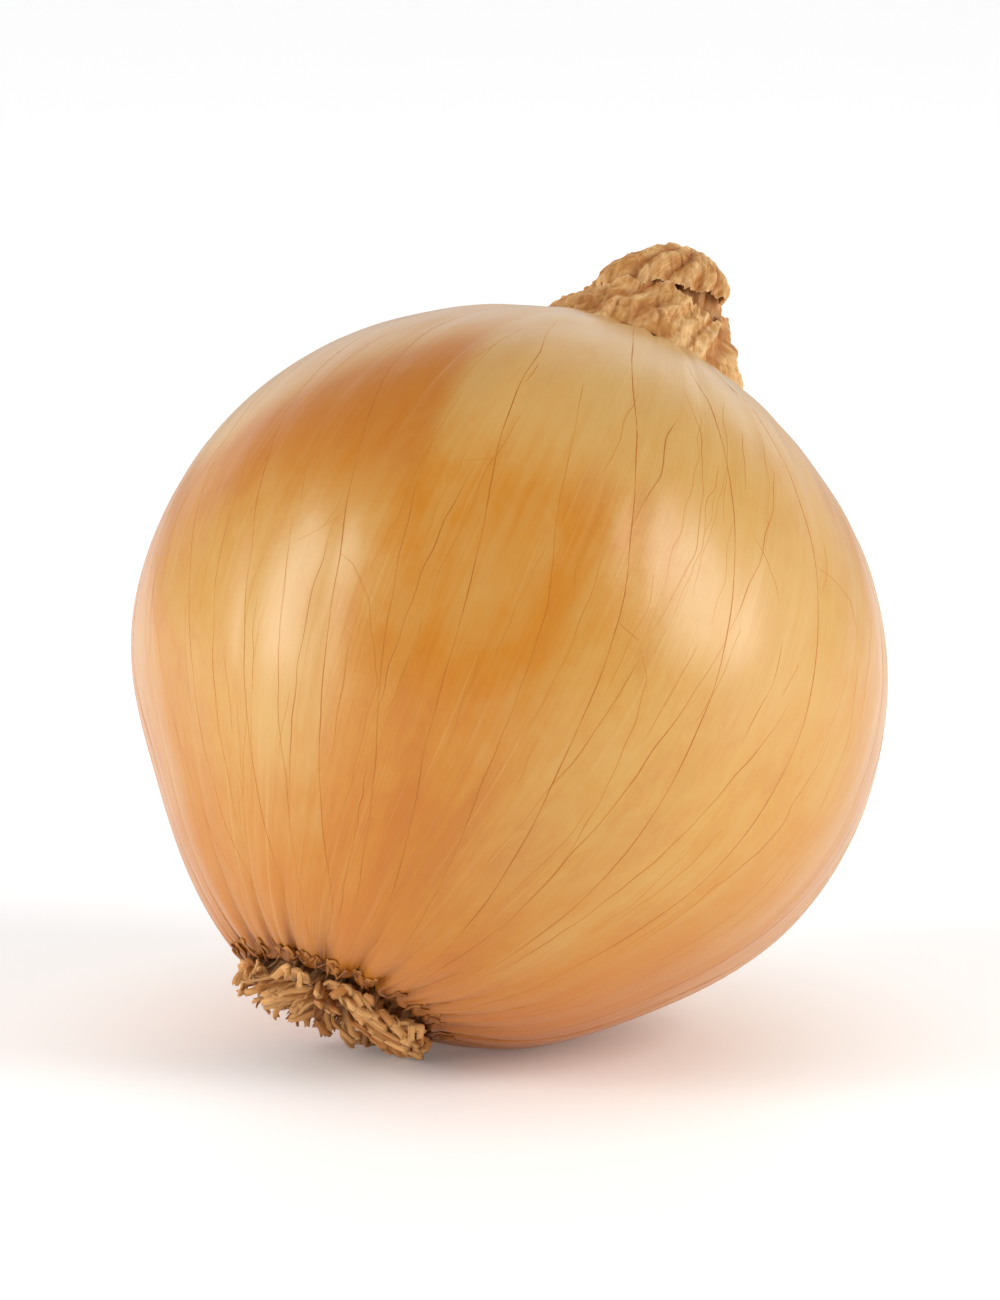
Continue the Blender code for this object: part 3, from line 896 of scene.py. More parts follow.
@dataclass
class Skin:
    """The bulb's skin: one grid, pleated at both ends, that turns in over a scalloped rim to its socket."""

    globe: Globe = GLOBE
    columns_a_pleat: int = 17
    rows: int = 218
    scallop: float = 1.3
    torn: float = 0.9
    crease: float = 0.08
    crease_spread: float = 1.6
    lip: tuple[tuple[float, float], ...] = (
        (10.62, -39.02),
        (10.38, -39.14),
        (10.12, -39.10),
        (9.88, -38.88),
        (9.72, -38.50),
        (9.45, -37.90),
        (9.00, -37.20),
    )

    def strips(self, polar: Array, turn: Array) -> tuple[Array, Array]:
        """Each strip between two main veins has its own tone, blended along its length.

        Args:
            polar: Angle from the root end, in radians.
            turn: Direction round the axis, in radians.

        Returns:
            A tone from about -1 to 1, and the distance to the nearest main vein in mm.
        """
        rng = np.random.default_rng(11)
        shown = [np.array(path) for power, path in SHOWN_VEINS if power >= 0.8 and len(path) > 4]
        edges = [(path[::-1, 0], path[::-1, 1]) for path in shown]
        degrees = np.degrees(polar)
        around = (np.degrees(turn) + 90.0) % 360.0 - 90.0
        strip = np.zeros(polar.shape, dtype=int)
        gap = np.full(polar.shape, 99.0)
        lines = [np.interp(degrees, heights, turns) for heights, turns in edges]
        starts = np.arange(84.0, 268.0, 9.0) + rng.uniform(-2.5, 2.5, 21)
        lines += [start + 1.5 * np.sin(3.0 * polar + start) for start in starts]
        for line in lines:
            strip += around > line
            gap = np.minimum(gap, np.abs(around - line))
        tones = rng.uniform(-1.0, 1.0, (strip.max() + 1, 5))
        along = np.clip(polar / math.pi * 4.0, 0.0, 3.999)
        step = along.astype(int)
        share = along - step
        across = np.radians(gap) * self.globe.radius * np.sin(polar)
        return tones[strip, step] * (1.0 - share) + tones[strip, step + 1] * share, across

    def creased(self, polar: Array, turn: Array) -> Array:
        """The low crease along each main vein: a bell across it, fading out towards both ends.

        Args:
            polar: Angle from the root end, in radians.
            turn: Direction round the axis, in radians.

        Returns:
            Height above the smooth skin in mm, at most 0.
        """
        near = bell(self.strips(polar, turn)[1], 0.0, self.crease_spread)
        return -self.crease * near * (np.sin(polar) * smooth_step(np.degrees(polar), 20.0, 45.0))

    def frost_and_reflection_line(self, around: Array) -> Array:
        """The angle from the root end above which the skin is bleached, partly a painted rim reflection: 133,
        less 0.9 a degree to the left.
        """
        return 133.0 - 0.9 * np.clip(-around - 29.0, 0.0, 40.0)

    def past_patch(self, degrees: Array, around: Array) -> Array:
        """How far round a point lies past the darker patch's right edge, which leans left upwards."""
        return around + 20.0 + 0.22 * (degrees - 86.0)

    def browned_and_painted_shade(self, polar: Array, turn: Array) -> Array:
        """Where the skin is browner: round the root end, with painted shade at its rim and down its furrows,
        under the neck, and upper left.

        Args:
            polar: Angle from the root end, in radians.
            turn: Direction round the axis, in radians.

        Returns:
            A share from 0 to 1.
        """
        degrees, around = np.degrees(polar), np.degrees(turn)
        # painted shade in the narrow band where the skin turns in at the rim; real browning in the wider one
        root = 0.78 * fading(degrees, 16.6, 1.5) + 0.16 * fading(degrees, 16.0, 7.0)
        neck = 0.20 * fading(-degrees, -163.0, 9.0)
        edge = smooth_step(-around, 17.0, 23.0) * smooth_step(-around, 110.0, 70.0)
        patch = 0.13 * edge * smooth_step(degrees, 92.0, 118.0) * fall(degrees, 132.0, 150.0)
        base = self.globe.base(turn)
        wedge = smooth_step(1.0 - self.globe.wave(base), 0.12, 0.55) - 2.0 * self.globe.gathers(polar, base)
        # painted shade down the furrows at the root end
        furrows = 0.95 * np.clip(wedge, 0.0, 1.0) * fading(degrees, 17.0, 4.2)
        return np.clip(root + neck + patch + furrows, 0.0, 1.0)

    def rust(self, polar: Array, turn: Array) -> Array:
        """Where the gold deepens: towards the root end, on the darker patch at the upper left, mid-front and
        lower right.

        Args:
            polar: Angle from the root end, in radians.
            turn: Direction round the axis, in radians.

        Returns:
            A share from 0 to 1.
        """
        degrees, around = np.degrees(polar), np.degrees(turn)
        patch = smooth_step(-self.past_patch(degrees, around), -3.0, 3.0) * smooth_step(-around, 112.0, 84.0)
        above = degrees - self.frost_and_reflection_line(around)
        patch = patch * smooth_step(degrees, 86.0, 106.0) * fall(above, -7.0, 5.0)
        centre = smooth_step(around, -27.0, -15.0) * fall(around, 2.0, 16.0)
        centre = 0.30 * centre * smooth_step(degrees, 58.0, 76.0) * fall(degrees, 94.0, 110.0)
        under = 0.5 * smooth_step(around, 38.0, 70.0) * bell(degrees, 48.0, 30.0)
        root = 0.82 * fading(degrees, 22.0, 30.0)
        return np.clip(root + 0.85 * patch + centre + under, 0.0, 1.0)

    def frost_and_painted_highlight(self, polar: Array, turn: Array) -> Array:
        """Where the skin is paler: round the shoulder, partly bleached and partly a painted rim reflection,
        by the patch, and down two flanks as painted highlights.

        Args:
            polar: Angle from the root end, in radians.
            turn: Direction round the axis, in radians.

        Returns:
            A share from 0 to 0.9.
        """
        degrees, around = np.degrees(polar), np.degrees(turn)
        above = smooth_step(degrees - self.frost_and_reflection_line(around), -5.0, 7.0)
        # partly a painted rim reflection round the shoulder
        top = 0.55 * above * smooth_step(around, -150.0, -115.0) * fall(around, 30.0, 90.0)
        beside = smooth_step(self.past_patch(degrees, around), -2.0, 4.0) * fall(around, 0.0, 24.0)
        top = np.maximum(top, 0.32 * beside * smooth_step(degrees, 98.0, 114.0))
        # painted highlights: paler where the two soft boxes' highlights fall on the flanks
        left = 0.45 * bell(around, -33.0, 12.0) * bell(degrees, 64.0, 17.0)
        right = 0.75 * bell(around, 37.0, 12.0) * bell(degrees, 103.0, 18.0)
        return np.clip(top + left + right, 0.0, 0.9)

    def faded_and_painted_highlight(self, polar: Array, turn: Array) -> Array:
        """Where the gold pales: right of the darker patch, on both flanks, partly as painted highlights, and
        at the upper left edge, partly as a painted rim reflection.

        Args:
            polar: Angle from the root end, in radians.
            turn: Direction round the axis, in radians.

        Returns:
            A share from 0 to 0.88.
        """
        degrees, around = np.degrees(polar), np.degrees(turn)
        beside = smooth_step(self.past_patch(degrees, around), -2.0, 4.0) * fall(around, 30.0, 60.0)
        beside = 0.8 * beside * smooth_step(degrees, 100.0, 120.0)
        # partly painted highlights: the flanks pale where the two soft boxes' highlights fall
        right = 0.76 * smooth_step(around, -2.0, 20.0) * fall(degrees, 112.0, 150.0)
        right = right * (1.0 - 0.35 * smooth_step(around, 38.0, 62.0))
        right = right * (1.0 - 0.6 * smooth_step(around, 38.0, 70.0) * bell(degrees, 48.0, 30.0))
        left = 0.74 * smooth_step(-around, 20.0, 36.0) * smooth_step(around, -78.0, -52.0)
        left = left * fall(degrees, 80.0, 98.0)
        flanks = (right + left) * smooth_step(degrees, 26.0, 66.0)
        # partly a painted rim reflection along the upper left edge
        edge = 0.6 * smooth_step(-around, 58.0, 86.0) * smooth_step(around, -150.0, -115.0)
        edge = edge * smooth_step(degrees, 92.0, 112.0) + 0.5 * smooth_step(degrees, 144.0, 160.0)
        return np.clip(beside + flanks + edge, 0.0, 0.88)

    def build(self) -> bpy.types.Object:
        """Builds the skin and dresses it.

        Returns:
            The object.
        """
        columns = self.globe.pleats * self.columns_a_pleat
        base = (TAU * np.arange(columns) / columns)[None, :]
        wave = self.globe.wave(base)
        turn = self.globe.turn(base)
        torn = self.torn * Ripple(51, 0.8, 2.4, 6).creased(circle(base) * 10.6)
        edge = self.globe.rim[1] + self.scallop * (1.0 - wave) + np.maximum(-0.6, torn)
        share = (np.arange(self.rows) / self.rows)[:, None]
        polar = np.radians(edge + (180.0 - edge) * share * (0.72 + 0.28 * share))
        lift = self.creased(polar, signed(turn) + 0.0 * polar)
        skin = self.globe.skin(polar, base + 0.0 * polar, lift)
        lip = []
        for radius, height in reversed(self.lip):
            depth = smooth_step(np.array(height), -37.2, -39.0)
            out = radius + 0.45 * (1.0 - wave) * (0.4 + 0.6 * depth)
            low = height + 0.75 * (1.0 - wave) * depth
            lip.append(np.stack([out * np.cos(turn), out * np.sin(turn), low], axis=-1))
        rim = np.radians(np.linspace(8.0, 15.0, len(self.lip)))[:, None] + 0.0 * base
        polar = np.concatenate([rim, polar])
        turns = signed(turn) + 0.0 * polar
        # the browner and paler values carry painted shade at the root rim and painted highlights on the
        # flanks, besides the skin's own tones
        tones = {"brown": self.browned_and_painted_shade, "rust": self.rust, "faded_and_painted_highlight": self.faded_and_painted_highlight, "frost_and_painted_highlight": self.frost_and_painted_highlight}
        values = {name: tone(polar, turns) for name, tone in tones.items()}
        values |= {"grain": circle(turns, polar), "strip": self.strips(polar, turns)[0]}
        surface = Surface.rings(np.concatenate([*lip, skin]), values)
        return surface.piece("bulb_skin", SkinFinish().material(), Slot.SKIN, Solid.BULB)


@dataclass
class Veins:
    """Fine veins that run from the root end to the neck, each a low flat strand half sunk in the skin.

    hidden gives the degrees round the axis of the far side, whose veins are seeded. Distances along a vein
    are measured on a ball of the given radius.
    """

    globe: Globe = GLOBE
    radius: float = 40.0
    hidden: tuple[float, float] = (78.0, 282.0)
    samples: int = 56
    faint: int = 150
    width: float = 0.18
    height: float = 0.019
    seed: int = 19
    section: tuple[tuple[float, float], ...] = (
        (-0.27, 0.8), (0.0, 1.0), (0.27, 0.8), (0.5, -2.4), (-0.5, -2.4),
    )

    def hidden_paths(self) -> list[tuple[float, Array]]:
        """Seeded veins round the side that doesn't show: a main one about every 9 degrees, with branches.

        Returns:
            Strength and path of each, the path in degrees, (points, 2).
        """
        rng = np.random.default_rng(self.seed)
        paths = []
        around = self.hidden[0]
        while around < self.hidden[1]:
            stations = np.array([156.0, 138.0, 118.0, 99.0, 80.0, 62.0, 44.0, 29.0, 18.0])
            drift = np.cumsum(rng.normal(0.0, 1.3, len(stations)))
            first = rng.integers(0, 3)
            path = np.stack([stations, around + drift - drift.mean()], axis=-1)[first:]
            paths.append((rng.uniform(0.6, 1.1), path))
            fork = rng.integers(1, len(path) - 3)
            side = rng.choice([-1.0, 1.0])
            branch = path[fork : fork + 3] + np.array([[0.0, 0.0], [2.0, 3.2 * side], [1.0, 4.6 * side]])
            paths.append((rng.uniform(0.35, 0.65), branch))
            around += rng.uniform(6.0, 11.0)
        return paths

    def faint_paths(self) -> list[tuple[float, Array]]:
        """Seeded short faint veins all round, between the main ones.

        Returns:
            Strength and path of each.
        """
        rng = np.random.default_rng(self.seed + 1)
        paths = []
        for _ in range(self.faint):
            start = rng.uniform(45.0, 140.0)
            length = rng.uniform(8.0, 34.0)
            around = rng.uniform(0.0, 360.0)
            bends = np.cumsum(rng.normal(0.0, 0.5, 4))
            stations = np.linspace(start, start - length, 4)
            paths.append((rng.uniform(0.12, 0.34), np.stack([stations, around + bends], axis=-1)))
        return paths

    def furrow_paths(self) -> list[tuple[float, Array]]:
        """A brown line down each furrow by the root end.

        Returns:
            Strength and path of each.
        """
        rng = np.random.default_rng(self.seed + 2)
        paths = []
        for pleat in range(self.globe.pleats):
            base = TAU * pleat / self.globe.pleats
            turn = math.degrees(float(self.globe.turn(np.array(base))))
            top = rng.uniform(24.0, 34.0)
            paths.append((rng.uniform(0.5, 0.9), np.array([[top, turn], [16.9, turn]])))
        return paths

    def tracks(self, paths: list[tuple[float, Array]]) -> tuple[Array, Array, Array]:
        """Samples each path evenly, smooths its corners and lets it wander a little.

        Args:
            paths: Strength and path of each vein.

        Returns:
            Polar angle and direction in radians, and strength, each (veins, samples).
        """
        rng = np.random.default_rng(self.seed + 3)
        polar = np.empty((len(paths), self.samples))
        turn = np.empty_like(polar)
        strength = np.empty_like(polar)
        share = np.linspace(0.0, 1.0, self.samples)
        for row, (power, path) in enumerate(paths):
            across = self.radius * np.radians(np.diff(path[:, 1])) * np.sin(np.radians(path[1:, 0]))
            steps = np.hypot(self.radius * np.radians(np.diff(path[:, 0])), across)
            reached = np.concatenate([[0.0], np.cumsum(steps)])
            at = share * reached[-1]
            polar[row] = np.radians(np.interp(at, reached, path[:, 0]))
            wander = sum(
                rng.uniform(0.05, 0.16) * np.sin(TAU * (at / rng.uniform(3.0, 12.0) + rng.uniform()))
                for _ in range(3)
            )
            sway = wander / (self.radius * np.maximum(0.3, np.sin(polar[row])))
            turn[row] = np.radians(np.interp(at, reached, path[:, 1])) + 0.6 * sway
            ends = smooth_step(share, -0.02, 0.16) * (1.0 - smooth_step(share, 0.80, 1.02))
            waver = 0.82 + 0.28 * np.sin(TAU * (at / rng.uniform(6.0, 20.0) + rng.uniform()))
            strength[row] = power * ends * waver
        for _ in range(2):
            turn[:, 1:-1] = 0.25 * turn[:, :-2] + 0.5 * turn[:, 1:-1] + 0.25 * turn[:, 2:]
        return polar, turn, strength

    def build(self) -> bpy.types.Object:
        """Carries a low lens-shaped section along every track.

        The section's x goes along n x t and its z along n, the skin's normal, where t is the track's
        direction; its width is width times 0.30 + 0.70 strength.

        Returns:
            The object.
        """
        shown = [(power, np.array(path, dtype=float)) for power, path in SHOWN_VEINS]
        paths = shown + self.hidden_paths() + self.faint_paths() + self.furrow_paths()
        polar, turn, strength = self.tracks(paths)
        lift = Skin().creased(polar, signed(turn))
        middle = self.globe.skin(polar, self.globe.base(turn), lift)
        normal = unit(middle)
        side = unit(np.cross(unit(np.gradient(middle, axis=1)), normal))
        section = np.array(self.section)
        x = section[:, 0] * (self.width * (0.30 + 0.70 * np.minimum(strength, 1.2)))[..., None]
        z = section[:, 1] * (self.height * (0.35 + 0.65 * strength))[..., None]
        power = np.clip(strength[..., None] + 0.0 * x, 0.0, 1.0)
        strands = Surface.bundle(carried(middle, side, normal, x, z), {"strength": power})
        strands.facing = unit(strands.points)
        return strands.piece("bulb_veins", VeinFinish().material(), Slot.SKIN, Solid.BULB)


@dataclass
class Fringe:
    """Torn ends of the skin round the root plate: thin tapered strips that bend in over the rim."""

    globe: Globe = GLOBE
    strips: int = 120
    steps: int = 9
    sides: int = 8
    rim: float = 15.9
    seed: int = 61
    finish: VeinFinish = VeinFinish(use="_fringe", gold=(0.56, 0.22, 0.040), brown=(0.20, 0.060, 0.012))

    def build(self) -> bpy.types.Object:
        """Carries a thin lens-shaped section from the skin on past its rim, bending in as it goes.

        Returns:
            The object.
        """
        rng = np.random.default_rng(self.seed)
        one = (self.strips, 1)
        base = rng.uniform(0.0, TAU, one)
        s = np.linspace(0.0, 1.0, self.steps)[None, :]
        start = rng.uniform(17.0, 18.4, one)
        length = rng.uniform(1.2, 3.2, one)
        polar = np.radians(start) - length * s / self.globe.radius
        sway = rng.normal(0.0, 0.05, one) * s + rng.normal(0.0, 0.03, one) * np.sin(5.0 * s)
        lift = 0.10 + rng.uniform(-0.2, 0.55, one) * s**2 - 1.1 * s**2.5 * rng.uniform(0.0, 1.0, one)
        rim = math.radians(self.rim)
        middle = self.globe.skin(np.maximum(polar, rim), base + sway, lift)
        past = np.maximum(0.0, rim - polar) * self.globe.radius
        inward = -unit(middle * np.array([1.0, 1.0, 0.0])) * 0.55 + np.array([0.0, 0.0, -0.55])
        middle = middle + inward * past[..., None]
        along = unit(np.gradient(middle, axis=1))
        side = unit(np.cross(along, unit(middle)))
        width = rng.uniform(0.3, 0.9, one) * (1.0 - 0.80 * s**1.4)
        width = width * (1.0 + 0.25 * np.sin(11.0 * s + rng.uniform(0.0, TAU, one)))
        angle = -TAU * np.arange(self.sides) / self.sides
        x = 0.5 * width[..., None] * np.cos(angle)
        z = 0.06 * np.sin(angle) + 0.10 * np.cos(2.0 * angle) * rng.uniform(-1.0, 1.0, (self.strips, 1, 1))
        rows = carried(middle, side, np.cross(side, along), x, z)
        brown = np.clip(rng.uniform(0.15, 0.9, one) + 0.5 * s - 0.1, 0.0, 0.95)[..., None] + 0.0 * x
        strands = Surface.bundle(rows, {"strength": brown})
        return strands.piece("skin_fringe", self.finish.material(), Slot.SKIN, Solid.BULB)


@dataclass
class RootTuft:
    """The corky root plate and its dry roots: flattened, striated strands that bend over and curl.

    thin gives the share of the roots that are thin, and their size beside the others'.
    """

    globe: Globe = GLOBE
    radius: float = 8.5
    edge: float = -38.4
    crown: float = -39.3
    roof: float = -37.5
    roots: int = 205
    steps: int = 15
    sides: int = 12
    width: float = 1.20
    thickness: float = 0.66
    thin: tuple[float, float] = (0.3, 0.45)
    grooves: int = 6
    groove: float = 0.13
    taper: float = 0.38
    spiral: float = 137.5
    swept: tuple[float, float, float] = (0.15, -0.38, -1.0)
    curl: float = 0.26
    kink: float = 0.035
    socket: float = 8.4
    give: float = 0.25
    lengths: tuple[float, float] = (4.0, 8.0)
    depth: float = -41.4
    reach: float = 10.5
    droop: float = 0.26
    skin_gap: float = 0.30
    ground_gap: float = 0.15
    seed: int = 7

    def leaned(self, direction: Array) -> Array:
        """A world direction seen from the straight root end.

        Args:
            direction: The direction, (3,).

        Returns:
            The same direction about the onion's axis, before the root end's swing.
        """
        angle = -math.radians(LEAN.root_swing)
        c, s = math.cos(angle), math.sin(angle)
        swing = np.array([[1.0, 0.0, 0.0], [0.0, c, -s], [0.0, s, c]])
        return swing.T @ LEAN.turn().T @ direction

    def dome(self, share: Array) -> Array:
        """The plate's height at a share of its radius: crown + (edge - crown) share^2."""
        return self.crown + (self.edge - self.crown) * share**2

    def plate(self) -> Surface:
        """The plate: a low dome, pitted and wrinkled, with a side that goes straight up into the bulb.

        Returns:
            The surface.
        """
        face, side = 22, 6
        share = np.concatenate([np.linspace(0.05, 1.0, face), np.ones(side)])
        angle = (TAU * np.arange(96) / 96)[None, :]
        height = self.dome(share)
        height[face:] = np.linspace(self.edge, self.roof, side + 1)[1:]
        radius = (self.radius * share)[:, None] + 0.0 * angle
        upright = height[:, None] + 0.0 * angle
        points = np.stack([radius * np.cos(angle), radius * np.sin(angle), upright], axis=-1)
        points[:face, :, 2] += 0.22 * Ripple(31, 1.2, 3.0).creased(points[:face])
        # the plate's base value is a painted shade
        values = {"grain": points * 0.6, "base": 0.55 + 0.0 * radius, "tone": 0.15 + 0.0 * radius}
        return Surface.rings(points, values)

    def pressed(self, points: Array) -> Array:
        """Keeps strand points off the skin's rim, within the tuft's depth and reach, and off the ground.

        Args:
            points: Strand points about the straight axis, (roots, 3).

        Returns:
            The moved points.
        """
        points = points.copy()
        half = 0.5 * self.width
        clear = self.globe.radius * (1.0 + self.globe.rim[0]) + half + self.skin_gap
        upward = self.leaned(np.array([0.0, 0.0, 1.0]))
        deep = points[:, 2] < self.depth
        points[deep, 2] = self.depth + self.give * (points[deep, 2] - self.depth)
        over = np.maximum(1.0, np.hypot(points[:, 0], points[:, 1]) / self.reach)
        points[:, :2] /= over[:, None]
        for _ in range(6):
            out = np.hypot(points[:, 0], points[:, 1])
            far = np.linalg.norm(points, axis=-1)
            beside = (out > self.socket) & (far < clear)
            points[beside] *= (clear / far[beside])[:, None]
            low = half + self.ground_gap - LEAN.leaned(LEAN.off_axis(points))[:, 2]
            sunk = low > 0.0
            points[sunk] += upward * low[sunk][:, None]
        return points

    def spines(self) -> Array:
        """Each root's line: out of the plate, bent over sideways, curled and drooping.

        Roots stand on a spiral of so many degrees a root. A step goes on by length / steps along a heading,
        to which its bend, times curl, a growing droop and small kinks are then added.

        Returns:
            Spine points, (roots, steps + 1, 3).
        """
        rng = np.random.default_rng(self.seed)
        number = np.arange(self.roots)
        share = np.sqrt((number + 0.5) / self.roots)
        around = math.radians(self.spiral) * number + rng.uniform(-0.25, 0.25, self.roots)
        outward = circle(around)
        sideways = circle(around + 0.5 * math.pi)
        point = outward * ((self.radius - 0.6) * share)[:, None]
        point[:, 2] = self.dome(share) + 0.7
        combed = 0.45 * Ripple(self.seed + 1, 5.0, 9.0, 4).at(point)[:, None]
        splay = (0.10 + 0.80 * share + rng.uniform(-0.15, 0.30, self.roots))[:, None]
        lean = combed + rng.uniform(-0.35, 0.35, (self.roots, 1))
        heading = unit(outward * splay + sideways * lean + np.array(self.swept))
        bend = 0.6 * Ripple(self.seed + 2, 3.0, 7.0, 4).at(point)[:, None]
        bend = bend + rng.uniform(-0.55, 0.55, (self.roots, 1))
        curl = sideways * bend + outward * (0.25 + 0.35 * share)[:, None]
        droop = self.leaned(np.array([0.0, 0.0, -self.droop]))
        length = rng.uniform(*self.lengths, (self.roots, 1))
        points = [point]
        kinks = rng.normal(0.0, self.kink, (self.steps, self.roots, 3))
        for step in range(self.steps):
            point = point + heading * length / self.steps
            heading = unit(heading + self.curl * curl + 0.06 * step * droop + kinks[step])
            points.append(self.pressed(point))
        return np.stack(points, axis=1)

    def strands(self) -> Surface:
        """Carries a flattened, grooved section along each spine.

        The section is an ellipse times 1 + groove cos(grooves angle + phase). It twists along the root, and
        tapers by 1 - taper s^2 towards a blunt, ragged end.

        Returns:
            All the strands as one surface.
        """
        rng = np.random.default_rng(self.seed + 5)
        spines = self.spines()
        roots, count = spines.shape[:2]
        each = (roots, 1, 1)
        along = unit(np.gradient(spines, axis=1))
        away = unit(spines.mean(axis=1) * np.array([1.0, 1.0, 0.2]))[:, None]
        seed_side = np.cross(along, away) + 0.35 * rng.normal(size=(roots, 1, 3))
        wide = unit(seed_side - along * (seed_side * along).sum(-1, keepdims=True))
        angle = TAU * np.arange(self.sides) / self.sides
        s = np.linspace(0.0, 1.0, count)[None, :, None]
        twist = rng.normal(0.0, 0.45, each) * s
        grooves = 1.0 + self.groove * np.cos(self.grooves * angle + rng.uniform(0, TAU, each))
        few, small = self.thin
        size = np.where(rng.uniform(size=each) < few, small, 1.0) * rng.uniform(0.75, 1.25, each)
        size = size * (1.0 - self.taper * s**2)
        size = size * (1.0 + 0.06 * np.sin(7.0 * s + rng.uniform(0, TAU, each)))
        across = 0.5 * self.width * size * grooves * np.cos(angle)
        through = 0.5 * self.thickness * size * grooves * np.sin(angle)
        x = across * np.cos(twist) - through * np.sin(twist)
        z = across * np.sin(twist) + through * np.cos(twist)
        rows = carried(spines, wide, np.cross(along, wide), x, z)
        rows[:, -1] += rng.uniform(-0.25, 0.35, (roots, self.sides, 1)) * along[:, -1][:, None]
        # painted shade: darker where the roots crowd into the plate
        base = np.clip(1.05 - 2.0 * s, 0.0, 0.95) + 0.0 * across
        tone = rng.uniform(-0.12, 0.46, each) + 0.22 * s + 0.0 * across
        grain = circle(angle + 0.0 * across, 6.0 * s) + rng.uniform(0.0, 90.0, (roots, 1, 1, 1))
        return Surface.bundle(rows, {"grain": grain, "base": base, "tone": tone})

    def build(self) -> None:
        """Builds the plate and the roots and dresses them."""
        finish = RootFinish().material()
        self.plate().piece("root_plate", finish, Slot.ROOTS, Solid.TUFT)
        self.strands().piece("root_strands", finish, Slot.ROOTS, Solid.TUFT)


class Opening(Enum):
    """Which way a leaf base's torn rim faces."""

    UP = "up"
    DOWN = "down"


